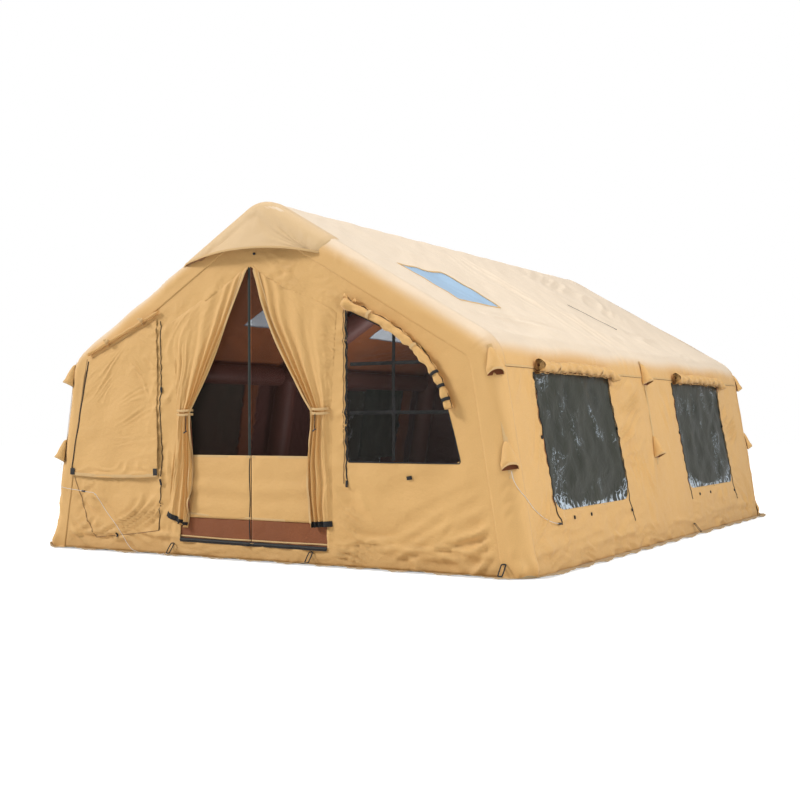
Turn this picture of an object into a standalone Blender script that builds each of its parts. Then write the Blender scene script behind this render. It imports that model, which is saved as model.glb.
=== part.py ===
# Inflatable house tent for camping, 6 m long, on three air arches.
#
# Frame: X to the right of someone facing the door, +Y to the back, +Z up.
# The origin is on the ground in the middle of the floor. All lengths are in metres.
# The shell is one line, drawn from the right foot over the ridge to the left foot.
# Every layer of cloth and every air tube follows that line at its own depth below it.

import math

import bmesh
import bpy
import numpy as np

# Shell: the bays between the middles of the arches, and sizes to the outside of the cloth.
# The eave and ridge are where the straight lines would meet.
front_bay = 2.785
rear_bay = 2.985
eave_half_width = 1.99
eave_height = 1.60
wall_lean_out = 0.26
ridge_height = 2.77
eave_radius = 0.30
ridge_radius = 0.25
corner_steps = 4

# Cloth and clearances
skin = 0.004
gap = 0.0004
cut_overrun = 0.03

# Air tubes
arch_tube_radius = 0.12
beam_tube_radius = 0.10
bladder_wall = 0.003
tube_sides = 12
port_radius = 0.010

# Sleeve round each end arch, with a flat margin sewn to the end wall
sleeve_margin = 0.07
sleeve_corner_steps = 3

# How far under the rounded eave the roof cloth is sewn to the side wall
seam_drop = 0.03

# Ground skirt and floor
skirt_reach = 0.09
skirt_flat = 0.05
skirt_lap = 0.03
skirt_ripple = 0.012
skirt_step = 0.40
skirt_wave_share = 0.37

# Side windows
side_window_width = 1.46
side_window_low = 0.41
side_window_top_cloth = 0.036
side_window_corner = 0.12
side_window_slant = 0.05
front_side_window_y = -1.66
rear_side_window_y = 1.43
window_corner_steps = 3
film = 0.0016
film_set_back = 0.001

# Skylights
skylight_inner = 0.85
skylight_outer = 1.37
skylight_width = 0.70
right_skylight_y = -1.98
left_skylight_front_y = -1.10
left_skylight_rear_y = 1.08

# Door, measured from the door's own centre line; its apex hangs under the ridge
door_centre = -0.06
door_half_width = 0.70
door_sill = 0.13
door_apex_drop = 0.54
door_gable_rise = 0.39
leaf_lap = 0.02
leaf_thickness = 0.003
sill_tape_height = 0.028
sill_tape_thickness = 0.002
sill_tape_drop = 0.004

# Zip slider on the left door leaf
slider_width = 0.014
slider_height = 0.032
slider_depth = 0.005
slider_z = 1.08
slider_body_gap = 0.0003

# Front windows: low edge, door side edge, and the cloth left over beside and above them
front_window_low = 0.76
right_window_inner = 0.82
right_window_side_cloth = 0.195
left_window_inner = 1.07
left_window_side_cloth = 0.14
front_window_top_cloth = 0.215
front_window_shares = ((0, 0), (1, 0), (0.88, 0.385), (0.70, 0.735), (0, 1))

# Closed cover of the front left window
cover_inner_x = 1.01
cover_inner_drop = 0.30
cover_outer_margin = 0.225
cover_outer_height = 1.57
cover_foot_inner_x = 0.99
cover_foot_margin = 0.180
cover_foot = 0.61
cover_ripple = 0.010
cover_slant_share = 0.6
cover_hem_stand = 0.022
cover_columns = 9
cover_rows = 10
cover_ripples = 2.5

# Rolled window covers
roll_radius = 0.046
roll_overhang = 0.02
roll_rise = 0.040
roll_sides = 12
roll_rings = 13
roll_lump_share = 0.14
roll_lumps = 3.3
front_roll_radius = 0.038
front_roll_start_x = 0.83
front_roll_start_drop = 0.385
front_roll_bend_x = 1.56
front_roll_bend_drop = 0.247
front_roll_end_margin = 0.395
front_roll_end_z = 1.13

# Door hood
hood_half_width = 0.70
hood_back = 0.10
hood_tip_drop = 0.075
hood_mid_drop = 0.375
hood_tip_stand = 0.014
hood_mid_stand = 0.080
hood_flap_rows = 3
hood_lift = 0.3

# Door curtains, measured from the door's centre line
curtain_outer = 0.79
curtain_inner = 0.016
curtain_shoulder_drop = 0.02
curtain_apex_drop = 0.015
tie_height = 1.13
tie_outer = 0.70
tie_inner = 0.545
curtain_foot = 0.26
left_foot_outer = 0.84
left_foot_inner = 0.57
right_foot_outer = 0.66
right_foot_inner = 0.46
curtain_top_fold = 0.008
curtain_tie_fold = 0.026
curtain_foot_fold = 0.034
curtain_free_stand = 0.003
curtain_folds = 3.5
curtain_edge_share = 0.35
curtain_columns = 24
curtain_rows_above = 8
curtain_rows_below = 5

# Tie straps
strap_height = 0.024
strap_thickness = 0.003
strap_clearance = 0.003
strap_shares = ((1.06, 0), (1.04, 0.55), (0.85, 1.0), (0, 1.08), (-0.85, 1.0), (-1.04, 0.6), (-1.06, 0))

# Guy pockets on the arch legs
pocket_length = 0.19
pocket_mouth_radius = 0.056
pocket_tip_radius = 0.012
pocket_wall = 0.0025
upper_pocket_mouth = 1.355
lower_pocket_mouth = 0.72
pocket_sides = 8
pocket_rows = 3
pocket_facet = 1
pocket_flare = 0.85
tape_half_width = 0.016
tape_thickness = 0.0026
tape_overrun = 0.012
pocket_seat = 0.0009

# Peg loops of webbing
loop_width = 0.046
loop_band = 0.008
loop_thickness = 0.0025
loop_top = 0.095
loop_foot = 0.014
loop_foot_out = 0.070
left_loop_x = -0.84
right_loop_x = 0.50
corner_loop_inset = 0.185
side_loop_y = 0.62

# Inflation valve in the rear arch, right leg
valve_height = 0.42
valve_flange_radius = 0.026
valve_flange_thickness = 0.003
valve_neck_radius = 0.013
valve_neck_length = 0.022
valve_collar_radius = 0.018
valve_collar_height = 0.010
valve_bore_radius = 0.007
valve_cap_radius = 0.021
valve_cap_height = 0.009
valve_plug_clearance = 0.0006
valve_plug_length = 0.006
valve_sides = 16
valve_offset = 0.034

# Guy lines and their routes
line_radius = 0.002
line_points = 64
tensioner_radius = 0.0085
tensioner_length = 0.034
tensioner_clearance = 0.0008
tensioner_sides = 12
left_line_route = (
    (-2.112, -2.988, 0.710), (-2.128, -2.998, 0.650), (-2.150, -3.006, 0.594), (-2.140, -3.024, 0.552),
    (-2.085, -3.045, 0.522), (-2.000, -3.055, 0.504), (-1.905, -3.056, 0.494), (-1.845, -3.056, 0.488),
    (-1.785, -3.056, 0.482), (-1.725, -3.056, 0.476), (-1.665, -3.056, 0.470), (-1.610, -3.053, 0.418),
    (-1.530, -3.047, 0.320), (-1.435, -3.042, 0.222), (-1.365, -3.039, 0.140), (-1.305, -3.038, 0.066),
    (-1.250, -3.038, 0.022), (-1.175, -3.038, 0.0075), (-1.095, -3.040, 0.0066), (-1.005, -3.036, 0.0066),
    (-0.935, -3.040, 0.0066), (-0.885, -3.044, 0.0066),
)
tensioner_at = 8
right_line_route = (
    (2.112, -2.988, 0.710), (2.127, -2.984, 0.650), (2.146, -2.946, 0.590), (2.1690, -2.876, 0.525),
    (2.1802, -2.790, 0.455), (2.1876, -2.700, 0.405), (2.1932, -2.610, 0.368), (2.1974, -2.520, 0.342),
    (2.2000, -2.440, 0.326), (2.2010, -2.390, 0.320),
)
roof_line_route_xy = (
    (1.005, 0.610), (1.060, 0.630), (1.115, 0.668), (1.170, 0.692), (1.225, 0.702),
    (1.280, 0.728), (1.335, 0.772), (1.385, 0.802), (1.425, 0.820),
)
roof_line_points = 26
right_line_points = 36

# Shares of the four nearest route points in a smooth curve, for each power of the place
curve_shares = ((0, 1, 0, 0), (-0.5, 0, 0.5, 0), (1, -2.5, 2, -0.5), (-0.5, 1.5, -1.5, 0.5))

base_half_width = eave_half_width + wall_lean_out
lean = math.atan(wall_lean_out / eave_height)
slope = math.atan((ridge_height - eave_height) / eave_half_width)
foot_z = skin + gap
sleeve_radius = arch_tube_radius + gap + skin
sleeve_depth = sleeve_radius + sleeve_margin
half_length = (front_bay + rear_bay) / 2 + sleeve_radius
middle_arch_y = sleeve_radius + front_bay - half_length
door_apex = ridge_height - door_apex_drop
door_shoulder = door_apex - door_gable_rise


def clear_scene():
    """Remove every object of the open file."""
    for thing in list(bpy.data.objects):
        bpy.data.objects.remove(thing, do_unlink=True)


def make_material(name, colour, roughness, metallic=0.0, alpha=1.0):
    """A Principled material, shared by all pieces of that finish."""
    material = bpy.data.materials.get(name)
    if material is None:
        material = bpy.data.materials.new(name)
        material.use_nodes = True
        shader = material.node_tree.nodes["Principled BSDF"]
        shader.inputs["Base Color"].default_value = (*colour, 1.0)
        shader.inputs["Roughness"].default_value = roughness
        shader.inputs["Metallic"].default_value = metallic
        shader.inputs["Alpha"].default_value = alpha
    return material


def wall_cloth():
    return make_material("wall_cloth", (0.62, 0.40, 0.17), 0.75)


def roof_cloth():
    return make_material("roof_cloth", (0.80, 0.62, 0.38), 0.7)


def bladder_film():
    return make_material("bladder_film", (0.30, 0.14, 0.07), 0.55)


def clear_film():
    return make_material("clear_film", (0.10, 0.11, 0.11), 0.15, alpha=0.6)


def sky_film():
    return make_material("sky_film", (0.38, 0.55, 0.72), 0.15, alpha=0.7)


def mesh_cloth():
    return make_material("mesh_cloth", (0.16, 0.10, 0.08), 0.8)


def floor_cloth():
    return make_material("floor_cloth", (0.34, 0.31, 0.25), 0.7)


def black_webbing():
    return make_material("black_webbing", (0.02, 0.02, 0.022), 0.65)


def black_plastic():
    return make_material("black_plastic", (0.025, 0.025, 0.028), 0.4)


def white_cord():
    return make_material("white_cord", (0.78, 0.76, 0.72), 0.7)


def add_object(name, points, faces, material):
    """A mesh object whose faces point outwards."""
    mesh = bpy.data.meshes.new(name)
    shape = bmesh.new()
    corners = [shape.verts.new(point) for point in np.asarray(points, float).reshape(-1, 3)]
    for face in faces:
        shape.faces.new([corners[index] for index in face])
    bmesh.ops.recalc_face_normals(shape, faces=shape.faces)
    shape.to_mesh(mesh)
    shape.free()
    mesh.materials.append(material)
    thing = bpy.data.objects.new(name, mesh)
    bpy.context.scene.collection.objects.link(thing)
    return thing


def ring_body(name, rings, material, closed=False):
    """A closed body through a row of rings with equal point counts.

    Each ring is joined to the next by four-sided faces. The first and last ring are
    capped, or joined to each other where the row runs round and closes.
    """
    rings = np.asarray(rings, float)
    count, size = rings.shape[:2]
    faces = []
    spans = count if closed else count - 1
    for row in range(spans):
        here = row * size
        there = ((row + 1) % count) * size
        for column in range(size):
            beside = (column + 1) % size
            faces.append((here + column, here + beside, there + beside, there + column))
    if not closed:
        faces.append(tuple(range(size)))
        faces.append(tuple((count - 1) * size + index for index in range(size)))
    return add_object(name, rings, faces, material)


def slab(name, back, front, material):
    """A sheet with thickness: two matching grids of points, joined round their rim.

    Both layers are split along the same diagonals, so they stay parallel.
    """
    back = np.asarray(back, float)
    front = np.asarray(front, float)
    rows, columns = back.shape[:2]
    offset = rows * columns
    faces = []
    for row in range(rows - 1):
        for column in range(columns - 1):
            a = row * columns + column
            b = a + 1
            c = a + columns + 1
            d = a + columns
            faces += [(a, b, c), (a, c, d)]
            faces += [(a + offset, c + offset, b + offset), (a + offset, d + offset, c + offset)]
    rim = [column for column in range(columns)]
    rim += [row * columns + columns - 1 for row in range(1, rows)]
    rim += [(rows - 1) * columns + column for column in range(columns - 2, -1, -1)]
    rim += [row * columns for row in range(rows - 2, 0, -1)]
    for index, corner in enumerate(rim):
        following = rim[(index + 1) % len(rim)]
        faces.append((corner, following, following + offset, corner + offset))
    return add_object(name, np.concatenate((back, front)), faces, material)


def make_cutter(name, rings):
    """A closed shape that only cuts or joins, and isn't a piece of the tent."""
    cutter = ring_body(name, rings, wall_cloth())
    cutter.hide_render = True
    cutter.display_type = "WIRE"
    return cutter


def combine(body, tool, operation):
    """Cut a shape from a body, or join it to the body."""
    change = body.modifiers.new(operation.lower() + " " + tool.name, "BOOLEAN")
    change.operation = operation
    change.solver = "EXACT"
    change.object = tool


def circle(centre, across, up, radius, sides, start=0.0):
    """Points round a circle that lies along two unit vectors."""
    angles = start + np.linspace(0, math.tau, sides, endpoint=False)
    centre = np.asarray(centre, float)
    across = np.asarray(across, float)
    up = np.asarray(up, float)
    return centre + radius * (np.outer(np.cos(angles), across) + np.outer(np.sin(angles), up))


def corner_centre(corner, normal_a, normal_b, radius):
    """Centre of the arc that rounds a corner between two lines."""
    towards = (normal_a + normal_b) / (1 + normal_a @ normal_b)
    return corner - radius * towards


def arc(centre, radius, start, end, steps):
    """Points along an arc in a plane."""
    angles = np.linspace(start, end, steps + 1)
    return centre + radius * np.column_stack((np.cos(angles), np.sin(angles)))


wall_normal = np.array((math.cos(lean), math.sin(lean)))
roof_normal = np.array((math.sin(slope), math.cos(slope)))


def eave_arc():
    """The rounded eave of the right half, from the wall up to the roof."""
    corner = np.array((eave_half_width, eave_height))
    centre = corner_centre(corner, wall_normal, roof_normal, eave_radius)
    return arc(centre, eave_radius, lean, math.pi / 2 - slope, corner_steps)


def ridge_arc():
    """The rounded ridge, from right to left."""
    centre = np.array((0, ridge_height - ridge_radius / math.cos(slope)))
    return arc(centre, ridge_radius, math.pi / 2 - slope, math.pi / 2 + slope, corner_steps)


def seam_height():
    """Height of the seam between side wall and roof cloth."""
    return eave_arc()[0][1] - seam_drop


def mirrored(path):
    """A path of (x, z) points carried to the left side, in travelling order."""
    return np.asarray(path)[::-1] * (-1, 1)


def wall_x(height, depth=0.0):
    """How far out the side wall is at a height, at a depth under the cloth's outside."""
    return base_half_width - height * math.tan(lean) - depth / math.cos(lean)


def roof_z(x, depth=0.0):
    """Height of the straight roof slope at a distance from the middle."""
    return ridge_height - abs(x) * math.tan(slope) - depth / math.cos(slope)


def whole_shell():
    """The shell line in (x, z), right foot to left foot."""
    half = [(wall_x(foot_z), foot_z), *eave_arc()]
    return np.concatenate((half, ridge_arc(), mirrored(half)))


def mitres(path, level_start=False, level_end=False):
    """For each point, the vector that moves it outwards so that every side moves out by one.

    A level end keeps the body's end flat on the ground.
    """
    steps = np.diff(path, axis=0)
    normals = np.column_stack((steps[:, 1], -steps[:, 0])) / np.linalg.norm(steps, axis=1)[:, None]
    before = np.concatenate((normals[:1], normals))
    after = np.concatenate((normals, normals[-1:]))
    result = (before + after) / (1 + np.sum(before * after, axis=1))[:, None]
    if level_start:
        result[0] = (1 / normals[0, 0], 0)
    if level_end:
        result[-1] = (1 / normals[-1, 0], 0)
    return result


def swept(path, outward, section):
    """Rings of a section of (depth, y) points, carried along a path in (x, z)."""
    rings = []
    for point, out in zip(path, outward):
        ring = [(point[0] - depth * out[0], y, point[1] - depth * out[1]) for depth, y in section]
        rings.append(ring)
    return np.array(rings)


def cloth_along(name, path, outward, front_y, back_y, material):
    """A layer of cloth under the shell line, between two places along the tent."""
    section = ((0, front_y), (0, back_y), (skin, back_y), (skin, front_y))
    return ring_body(name, swept(path, outward, section), material)


def inset_outline(outline, distance):
    """A closed outline moved inwards by a distance, for a pane inside its opening."""
    points = np.asarray(outline, float)
    area = np.sum(points[:, 0] * np.roll(points[:, 1], -1) - np.roll(points[:, 0], -1) * points[:, 1])
    turn = 1 if area > 0 else -1
    after = np.roll(points, -1, axis=0) - points
    after = after / np.linalg.norm(after, axis=1)[:, None]
    inward = turn * np.column_stack((-after[:, 1], after[:, 0]))
    before = np.roll(inward, 1, axis=0)
    return points + distance * (inward + before) / (1 + np.sum(inward * before, axis=1))[:, None]


def arch_sleeve(name, end):
    """Cloth round an end arch: flat margin on the end wall, then round the corner to the roof."""
    face = half_length
    centre = half_length - sleeve_radius
    angles = np.linspace(math.pi / 2, 0, sleeve_corner_steps + 1)
    section = [(sleeve_depth, face)]
    for radius, turn in ((sleeve_radius, 1), (sleeve_radius - skin, -1)):
        for angle in angles[::turn]:
            section.append((sleeve_radius - radius * math.cos(angle), centre + radius * math.sin(angle)))
    section.append((sleeve_depth, face - skin))
    section = [(depth, end * y) for depth, y in section]
    path = whole_shell()
    return ring_body(name, swept(path, mitres(path, True, True), section), wall_cloth())


def tube_rings(centre_depth, centre_y, radius):
    """Rings of a round tube that follows the shell line."""
    path = whole_shell()
    outward = mitres(path, True, True)
    angles = np.linspace(0, math.tau, tube_sides, endpoint=False)
    section = [(centre_depth - radius * math.cos(a), centre_y + radius * math.sin(a)) for a in angles]
    return swept(path, outward, section)


def arch_tube(name, centre_y):
    """An arched air tube: outer wall, a port in its right foot, and the inner wall."""
    outer = tube_rings(sleeve_radius, centre_y, arch_tube_radius)
    inner = tube_rings(sleeve_radius, centre_y, arch_tube_radius - bladder_wall)
    port = tube_rings(sleeve_radius, centre_y, port_radius)[0]
    lifted_port = port + (0, 0, bladder_wall)
    inner[0, :, 2] += bladder_wall
    inner[-1, :, 2] += bladder_wall
    rings = np.concatenate((outer[::-1], [port, lifted_port], inner))
    return ring_body(name, rings, bladder_film())


def straight_tube(name, x, z, front_y, back_y):
    """A straight air tube along the tent, with a port at its front end."""
    across = (1, 0, 0)
    up = (0, 0, 1)
    turn = math.pi / 2
    places = (
        (back_y, beam_tube_radius), (front_y, beam_tube_radius), (front_y, port_radius),
        (front_y + bladder_wall, port_radius), (front_y + bladder_wall, beam_tube_radius - bladder_wall),
        (back_y - bladder_wall, beam_tube_radius - bladder_wall),
    )
    rings = [circle((x, y, z), across, up, radius, tube_sides, turn) for y, radius in places]
    return ring_body(name, rings, bladder_film())


def beam_spans():
    """Front and back stretch of the straight tubes, between the three arches."""
    reach = arch_tube_radius + gap
    end_arch = half_length - sleeve_radius
    return (
        ("front", -end_arch + reach, middle_arch_y - reach),
        ("rear", middle_arch_y + reach, end_arch - reach),
    )


def make_frame():
    """Three arches, the ridge tube and the two eave tubes."""
    end_arch = half_length - sleeve_radius
    arch_tube("front_arch_beam", -end_arch)
    arch_tube("middle_arch_beam", middle_arch_y)
    rear = arch_tube("rear_arch_beam", end_arch)
    depth = skin + gap + beam_tube_radius
    ridge_depth = depth / math.cos(slope / corner_steps)
    eave_depth = depth / math.cos((math.pi / 2 - slope - lean) / corner_steps / 2)
    crown = ridge_arc()[corner_steps // 2]
    eave = eave_arc()[corner_steps // 2]
    inward = -(wall_normal + roof_normal)
    inward = inward / np.linalg.norm(inward)
    eave_centre = eave + eave_depth * inward
    for place, front_y, back_y in beam_spans():
        straight_tube("ridge_beam_" + place, 0, crown[1] - ridge_depth, front_y, back_y)
        straight_tube("eave_beam_right_" + place, eave_centre[0], eave_centre[1], front_y, back_y)
        straight_tube("eave_beam_left_" + place, -eave_centre[0], eave_centre[1], front_y, back_y)
    return rear


def side_window_high():
    """Top edge of the side windows, under the seam."""
    return seam_height() - side_window_top_cloth


def window_outline(centre_y):
    """Side window in (y, z): square at the top, rounded at the bottom, leaning to the front."""
    half = side_window_width / 2
    radius = side_window_corner
    low = side_window_low + radius
    left = arc(np.array((centre_y - half + radius, low)), radius, -math.pi, -math.pi / 2, window_corner_steps)
    right = arc(np.array((centre_y + half - radius, low)), radius, -math.pi / 2, 0, window_corner_steps)
    high = side_window_high()
    shift = side_window_slant
    return np.concatenate((left, right, ((centre_y + half - shift, high), (centre_y - half - shift, high))))


def side_windows():
    """Name and centre of each window in a side wall."""
    return (("front", front_side_window_y), ("rear", rear_side_window_y))


def on_wall(outline, depth, side):
    """An outline in (y, z) laid on a side wall at a depth under its outside."""
    return [(side * wall_x(z, depth), y, z) for y, z in outline]


def on_roof(outline, depth, side):
    """An outline in (x, y) laid on a roof slope at a depth under its outside."""
    return [(side * x, y, roof_z(x, depth)) for x, y in outline]


def on_end(outline, y):
    """An outline in (x, z) stood upright across the tent."""
    return [(x, y, z) for x, z in outline]


def make_side_wall(side, label):
    """A leaning side wall with two window openings and their films."""
    top = seam_height() - gap
    path = np.array(((wall_x(foot_z), foot_z), (wall_x(top), top)))
    outward = mitres(path, True)
    reach = half_length - sleeve_radius - gap
    wall = cloth_along("wall_" + label, path * (side, 1), outward * (side, 1), -reach, reach, wall_cloth())
    for place, centre_y in side_windows():
        outline = window_outline(centre_y)
        rings = (on_wall(outline, -cut_overrun, side), on_wall(outline, skin + cut_overrun, side))
        combine(wall, make_cutter("cut_window_" + label + "_" + place, rings), "DIFFERENCE")
        pane = inset_outline(outline, gap)
        rings = (on_wall(pane, film_set_back, side), on_wall(pane, film_set_back + film, side))
        ring_body("window_" + label + "_" + place, rings, clear_film())


def make_roof_panel(side, label, skylight_ys):
    """One roof slope, from the seam on the wall up to the ridge, with its skylights."""
    crown = ridge_arc()[:corner_steps // 2 + 1]
    crown[-1] = (gap / 2, crown[-1][1])
    foot = seam_height()
    path = np.concatenate((((wall_x(foot), foot),), eave_arc(), crown))
    outward = mitres(path)
    outward[-1] = (0, 1 / math.cos(slope / corner_steps))
    reach = half_length - sleeve_radius - gap
    path = path * (side, 1)
    outward = outward * (side, 1)
    panel = cloth_along("roof_panel_" + label, path, outward, -reach, reach, roof_cloth())
    for index, centre_y in enumerate(skylight_ys):
        half = skylight_width / 2
        outline = (
            (skylight_inner, centre_y - half), (skylight_outer, centre_y - half),
            (skylight_outer, centre_y + half), (skylight_inner, centre_y + half),
        )
        place = "front" if index == 0 else "rear"
        rings = (on_roof(outline, -cut_overrun, side), on_roof(outline, skin + cut_overrun, side))
        combine(panel, make_cutter("cut_skylight_" + label + "_" + place, rings), "DIFFERENCE")
        pane = inset_outline(outline, gap)
        rings = (on_roof(pane, film_set_back, side), on_roof(pane, film_set_back + film, side))
        ring_body("skylight_" + label + "_" + place, rings, sky_film())
    return panel


def end_wall_outline():
    """Outline in (x, z) of the flat cloth inside an end arch's sleeve."""
    path = whole_shell()
    return path - (sleeve_depth + gap) * mitres(path, True, True)


def door_outline(lap=0.0):
    """The doorway in (x, z), or the door behind it, larger by a lap."""
    half = door_half_width + lap
    rise = lap / math.cos(math.atan((door_apex - door_shoulder) / door_half_width))
    return np.array((
        (door_centre - half, door_sill - lap), (door_centre + half, door_sill - lap),
        (door_centre + half, door_shoulder + lap), (door_centre, door_apex + rise),
        (door_centre - half, door_shoulder + lap),
    ))


def front_window_outline(side, inner, side_cloth):
    """A front window in (x, z), narrower towards its top as the roof comes down."""
    width = wall_x(front_window_low, sleeve_depth) - side_cloth - inner
    height = roof_z(inner, sleeve_depth) - front_window_top_cloth - front_window_low
    outline = np.array(front_window_shares) * (width, height) + (inner, front_window_low)
    return outline * (side, 1)


def make_end_walls():
    """The front wall with doorway and windows, and the plain rear wall."""
    outline = end_wall_outline()
    face = half_length
    front = ring_body("wall_front", (on_end(outline, -face), on_end(outline, -face + skin)), wall_cloth())
    ring_body("wall_rear", (on_end(outline, face), on_end(outline, face - skin)), wall_cloth())
    near = -face - cut_overrun
    far = -face + skin + cut_overrun
    doorway = door_outline()
    combine(front, make_cutter("cut_doorway", (on_end(doorway, near), on_end(doorway, far))), "DIFFERENCE")
    windows = (
        ("right", 1, right_window_inner, right_window_side_cloth),
        ("left", -1, left_window_inner, left_window_side_cloth),
    )
    for label, side, inner, side_cloth in windows:
        opening = front_window_outline(side, inner, side_cloth)
        cutter = make_cutter("cut_front_window_" + label, (on_end(opening, near), on_end(opening, far)))
        combine(front, cutter, "DIFFERENCE")
        pane = inset_outline(opening, gap)
        back = -face + film_set_back
        ring_body("window_front_" + label, (on_end(pane, back), on_end(pane, back + film)), clear_film())


def perimeter(outset):
    """The tent's plan line with rounded corners, moved out from the foot of the walls."""
    radius = sleeve_radius + outset
    points = []
    centre_x = base_half_width - sleeve_radius
    centre_y = half_length - sleeve_radius
    for quarter, (sign_x, sign_y) in enumerate(((1, 1), (-1, 1), (-1, -1), (1, -1))):
        centre = np.array((sign_x * centre_x, sign_y * centre_y))
        start = quarter * math.pi / 2
        points += list(arc(centre, radius, start, start + math.pi / 2, sleeve_corner_steps))
        run = 2 * (centre_x if quarter % 2 == 0 else centre_y)
        pieces = max(1, round(run / skirt_step))
        direction = np.array((-math.sin(start + math.pi / 2), math.cos(start + math.pi / 2)))
        for piece in range(1, pieces):
            points.append(points[-piece] + direction * run * piece / pieces)
    return np.array(points)


def make_floor():
    """The ground sheet, and the skirt that lies round it under the feet of the walls."""
    edge = perimeter(-skirt_lap - gap)
    level = np.zeros((len(edge), 1))
    rings = (np.hstack((edge, level)), np.hstack((edge, level + skin)))
    ring_body("groundsheet", rings, floor_cloth())
    lines = [perimeter(outset) for outset in (-skirt_lap, skirt_flat, skirt_reach)]
    wave = np.arange(len(edge)) * math.tau * skirt_wave_share
    lift = skirt_ripple * (1 + np.cos(wave) * np.cos(wave / 3)) / 2
    rings = []
    for index in range(len(edge)):
        inner, middle, outer = (line[index] for line in lines)
        rise = lift[index]
        rings.append((
            (*inner, 0), (*middle, 0), (*outer, rise), (*outer, rise + skin), (*middle, skin), (*inner, skin),
        ))
    ring_body("ground_skirt", rings, floor_cloth(), closed=True)


def make_hood():
    """The door hood: cloth over the front arch's crown that ends in a free, forward edge."""
    arc_line = ridge_arc()
    tip_right = door_centre + hood_half_width
    tip_left = door_centre - hood_half_width
    right = [(x, roof_z(x)) for x in (tip_right, (tip_right + arc_line[0][0]) / 2)]
    left = [(x, roof_z(x)) for x in ((tip_left + arc_line[-1][0]) / 2, tip_left)]
    path = np.concatenate((right, arc_line, left))
    outward = mitres(path)
    centre_y = -half_length + sleeve_radius
    tip_z = roof_z(hood_half_width) - hood_tip_drop
    mid_z = arc_line[corner_steps // 2][1] - hood_mid_drop
    back = []
    front = []
    for (x, z), out in zip(path, outward):
        share = 1 - ((x - door_centre) / hood_half_width) ** 2
        stand = hood_tip_stand + share * (hood_mid_stand - hood_tip_stand)
        low = np.array((x, -half_length - stand, tip_z + share * (mid_z - tip_z)))
        up = np.array((out[0], 0, out[1]))
        forward = np.array((0, -1, 0))
        base = np.array((x, centre_y, z))
        rows = [(base + gap * up + (0, hood_back, 0), up)]
        for step in range(sleeve_corner_steps):
            angle = math.pi / 2 * step / sleeve_corner_steps
            direction = math.cos(angle) * up + math.sin(angle) * forward
            place = base - sleeve_radius * up + (sleeve_radius + gap) * direction
            rows.append((place, direction))
        shoulder, lean_out = rows[-1]
        for row in range(1, hood_flap_rows + 1):
            reach = row / hood_flap_rows
            rows.append((shoulder + (low - shoulder) * reach, forward + hood_lift * (1 - reach) * up))
        back.append([place for place, direction in rows])
        front.append([place + skin * direction for place, direction in rows])
    slab("door_hood", back, front, roof_cloth())


def curtain_depth(along, fold, stand):
    """How far the folded cloth stands off the wall, from its outer to its inner edge."""
    wave = (1 - math.cos(math.tau * curtain_folds * along)) / 2
    swell = curtain_edge_share + (1 - curtain_edge_share) * math.sqrt(max(math.sin(math.pi * along), 0))
    return gap + stand * along + fold * wave * swell


def make_curtain(side, label, foot_outer, foot_inner):
    """An outer door curtain: fixed along its outer edge, gathered at the tie, loose below it."""
    shoulder = door_shoulder - curtain_shoulder_drop
    apex = door_apex - curtain_apex_drop
    back = []
    rows_above = np.linspace(0, 1, curtain_rows_above + 1)
    rows_below = np.linspace(0, 1, curtain_rows_below + 1)[1:]
    shares = [(share, 0.0) for share in rows_above] + [(1.0, share) for share in rows_below]
    for above, below in shares:
        row = []
        fold = curtain_top_fold + (curtain_tie_fold - curtain_top_fold) * above
        fold = fold + (curtain_foot_fold - curtain_tie_fold) * below
        for column in range(curtain_columns + 1):
            along = column / curtain_columns
            top = np.array((curtain_outer + (curtain_inner - curtain_outer) * along,
                            shoulder + (apex - shoulder) * along))
            tie = np.array((tie_outer + (tie_inner - tie_outer) * along, tie_height))
            foot = np.array((foot_outer + (foot_inner - foot_outer) * along, curtain_foot))
            place = top + (tie - top) * above if below == 0 else tie + (foot - tie) * below
            depth = curtain_depth(along, fold, curtain_free_stand)
            row.append((door_centre + side * place[0], -half_length - depth, place[1]))
        back.append(row)
    front = np.array(back) - (0, skin, 0)
    slab("door_curtain_" + label, back, front, wall_cloth())


def make_tieback(side, label):
    """A strap that holds a curtain: from the wall round the front of the gathered cloth."""
    middle = (tie_outer + tie_inner) / 2
    reach = (tie_outer - tie_inner) / 2 + strap_clearance
    stand = gap + curtain_free_stand + curtain_tie_fold + skin + strap_clearance
    half_height = strap_height / 2
    back = []
    front = []
    for height in (-half_height, half_height):
        for grid, extra in ((back, 0.0), (front, strap_thickness)):
            row = []
            for across_share, stand_share in strap_shares:
                across = middle + across_share * (reach + extra)
                out = gap + stand_share * (stand + extra)
                row.append((door_centre + side * across, -half_length - out, tie_height + height))
            grid.append(row)
    slab("tieback_" + label, back, front, wall_cloth())


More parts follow.
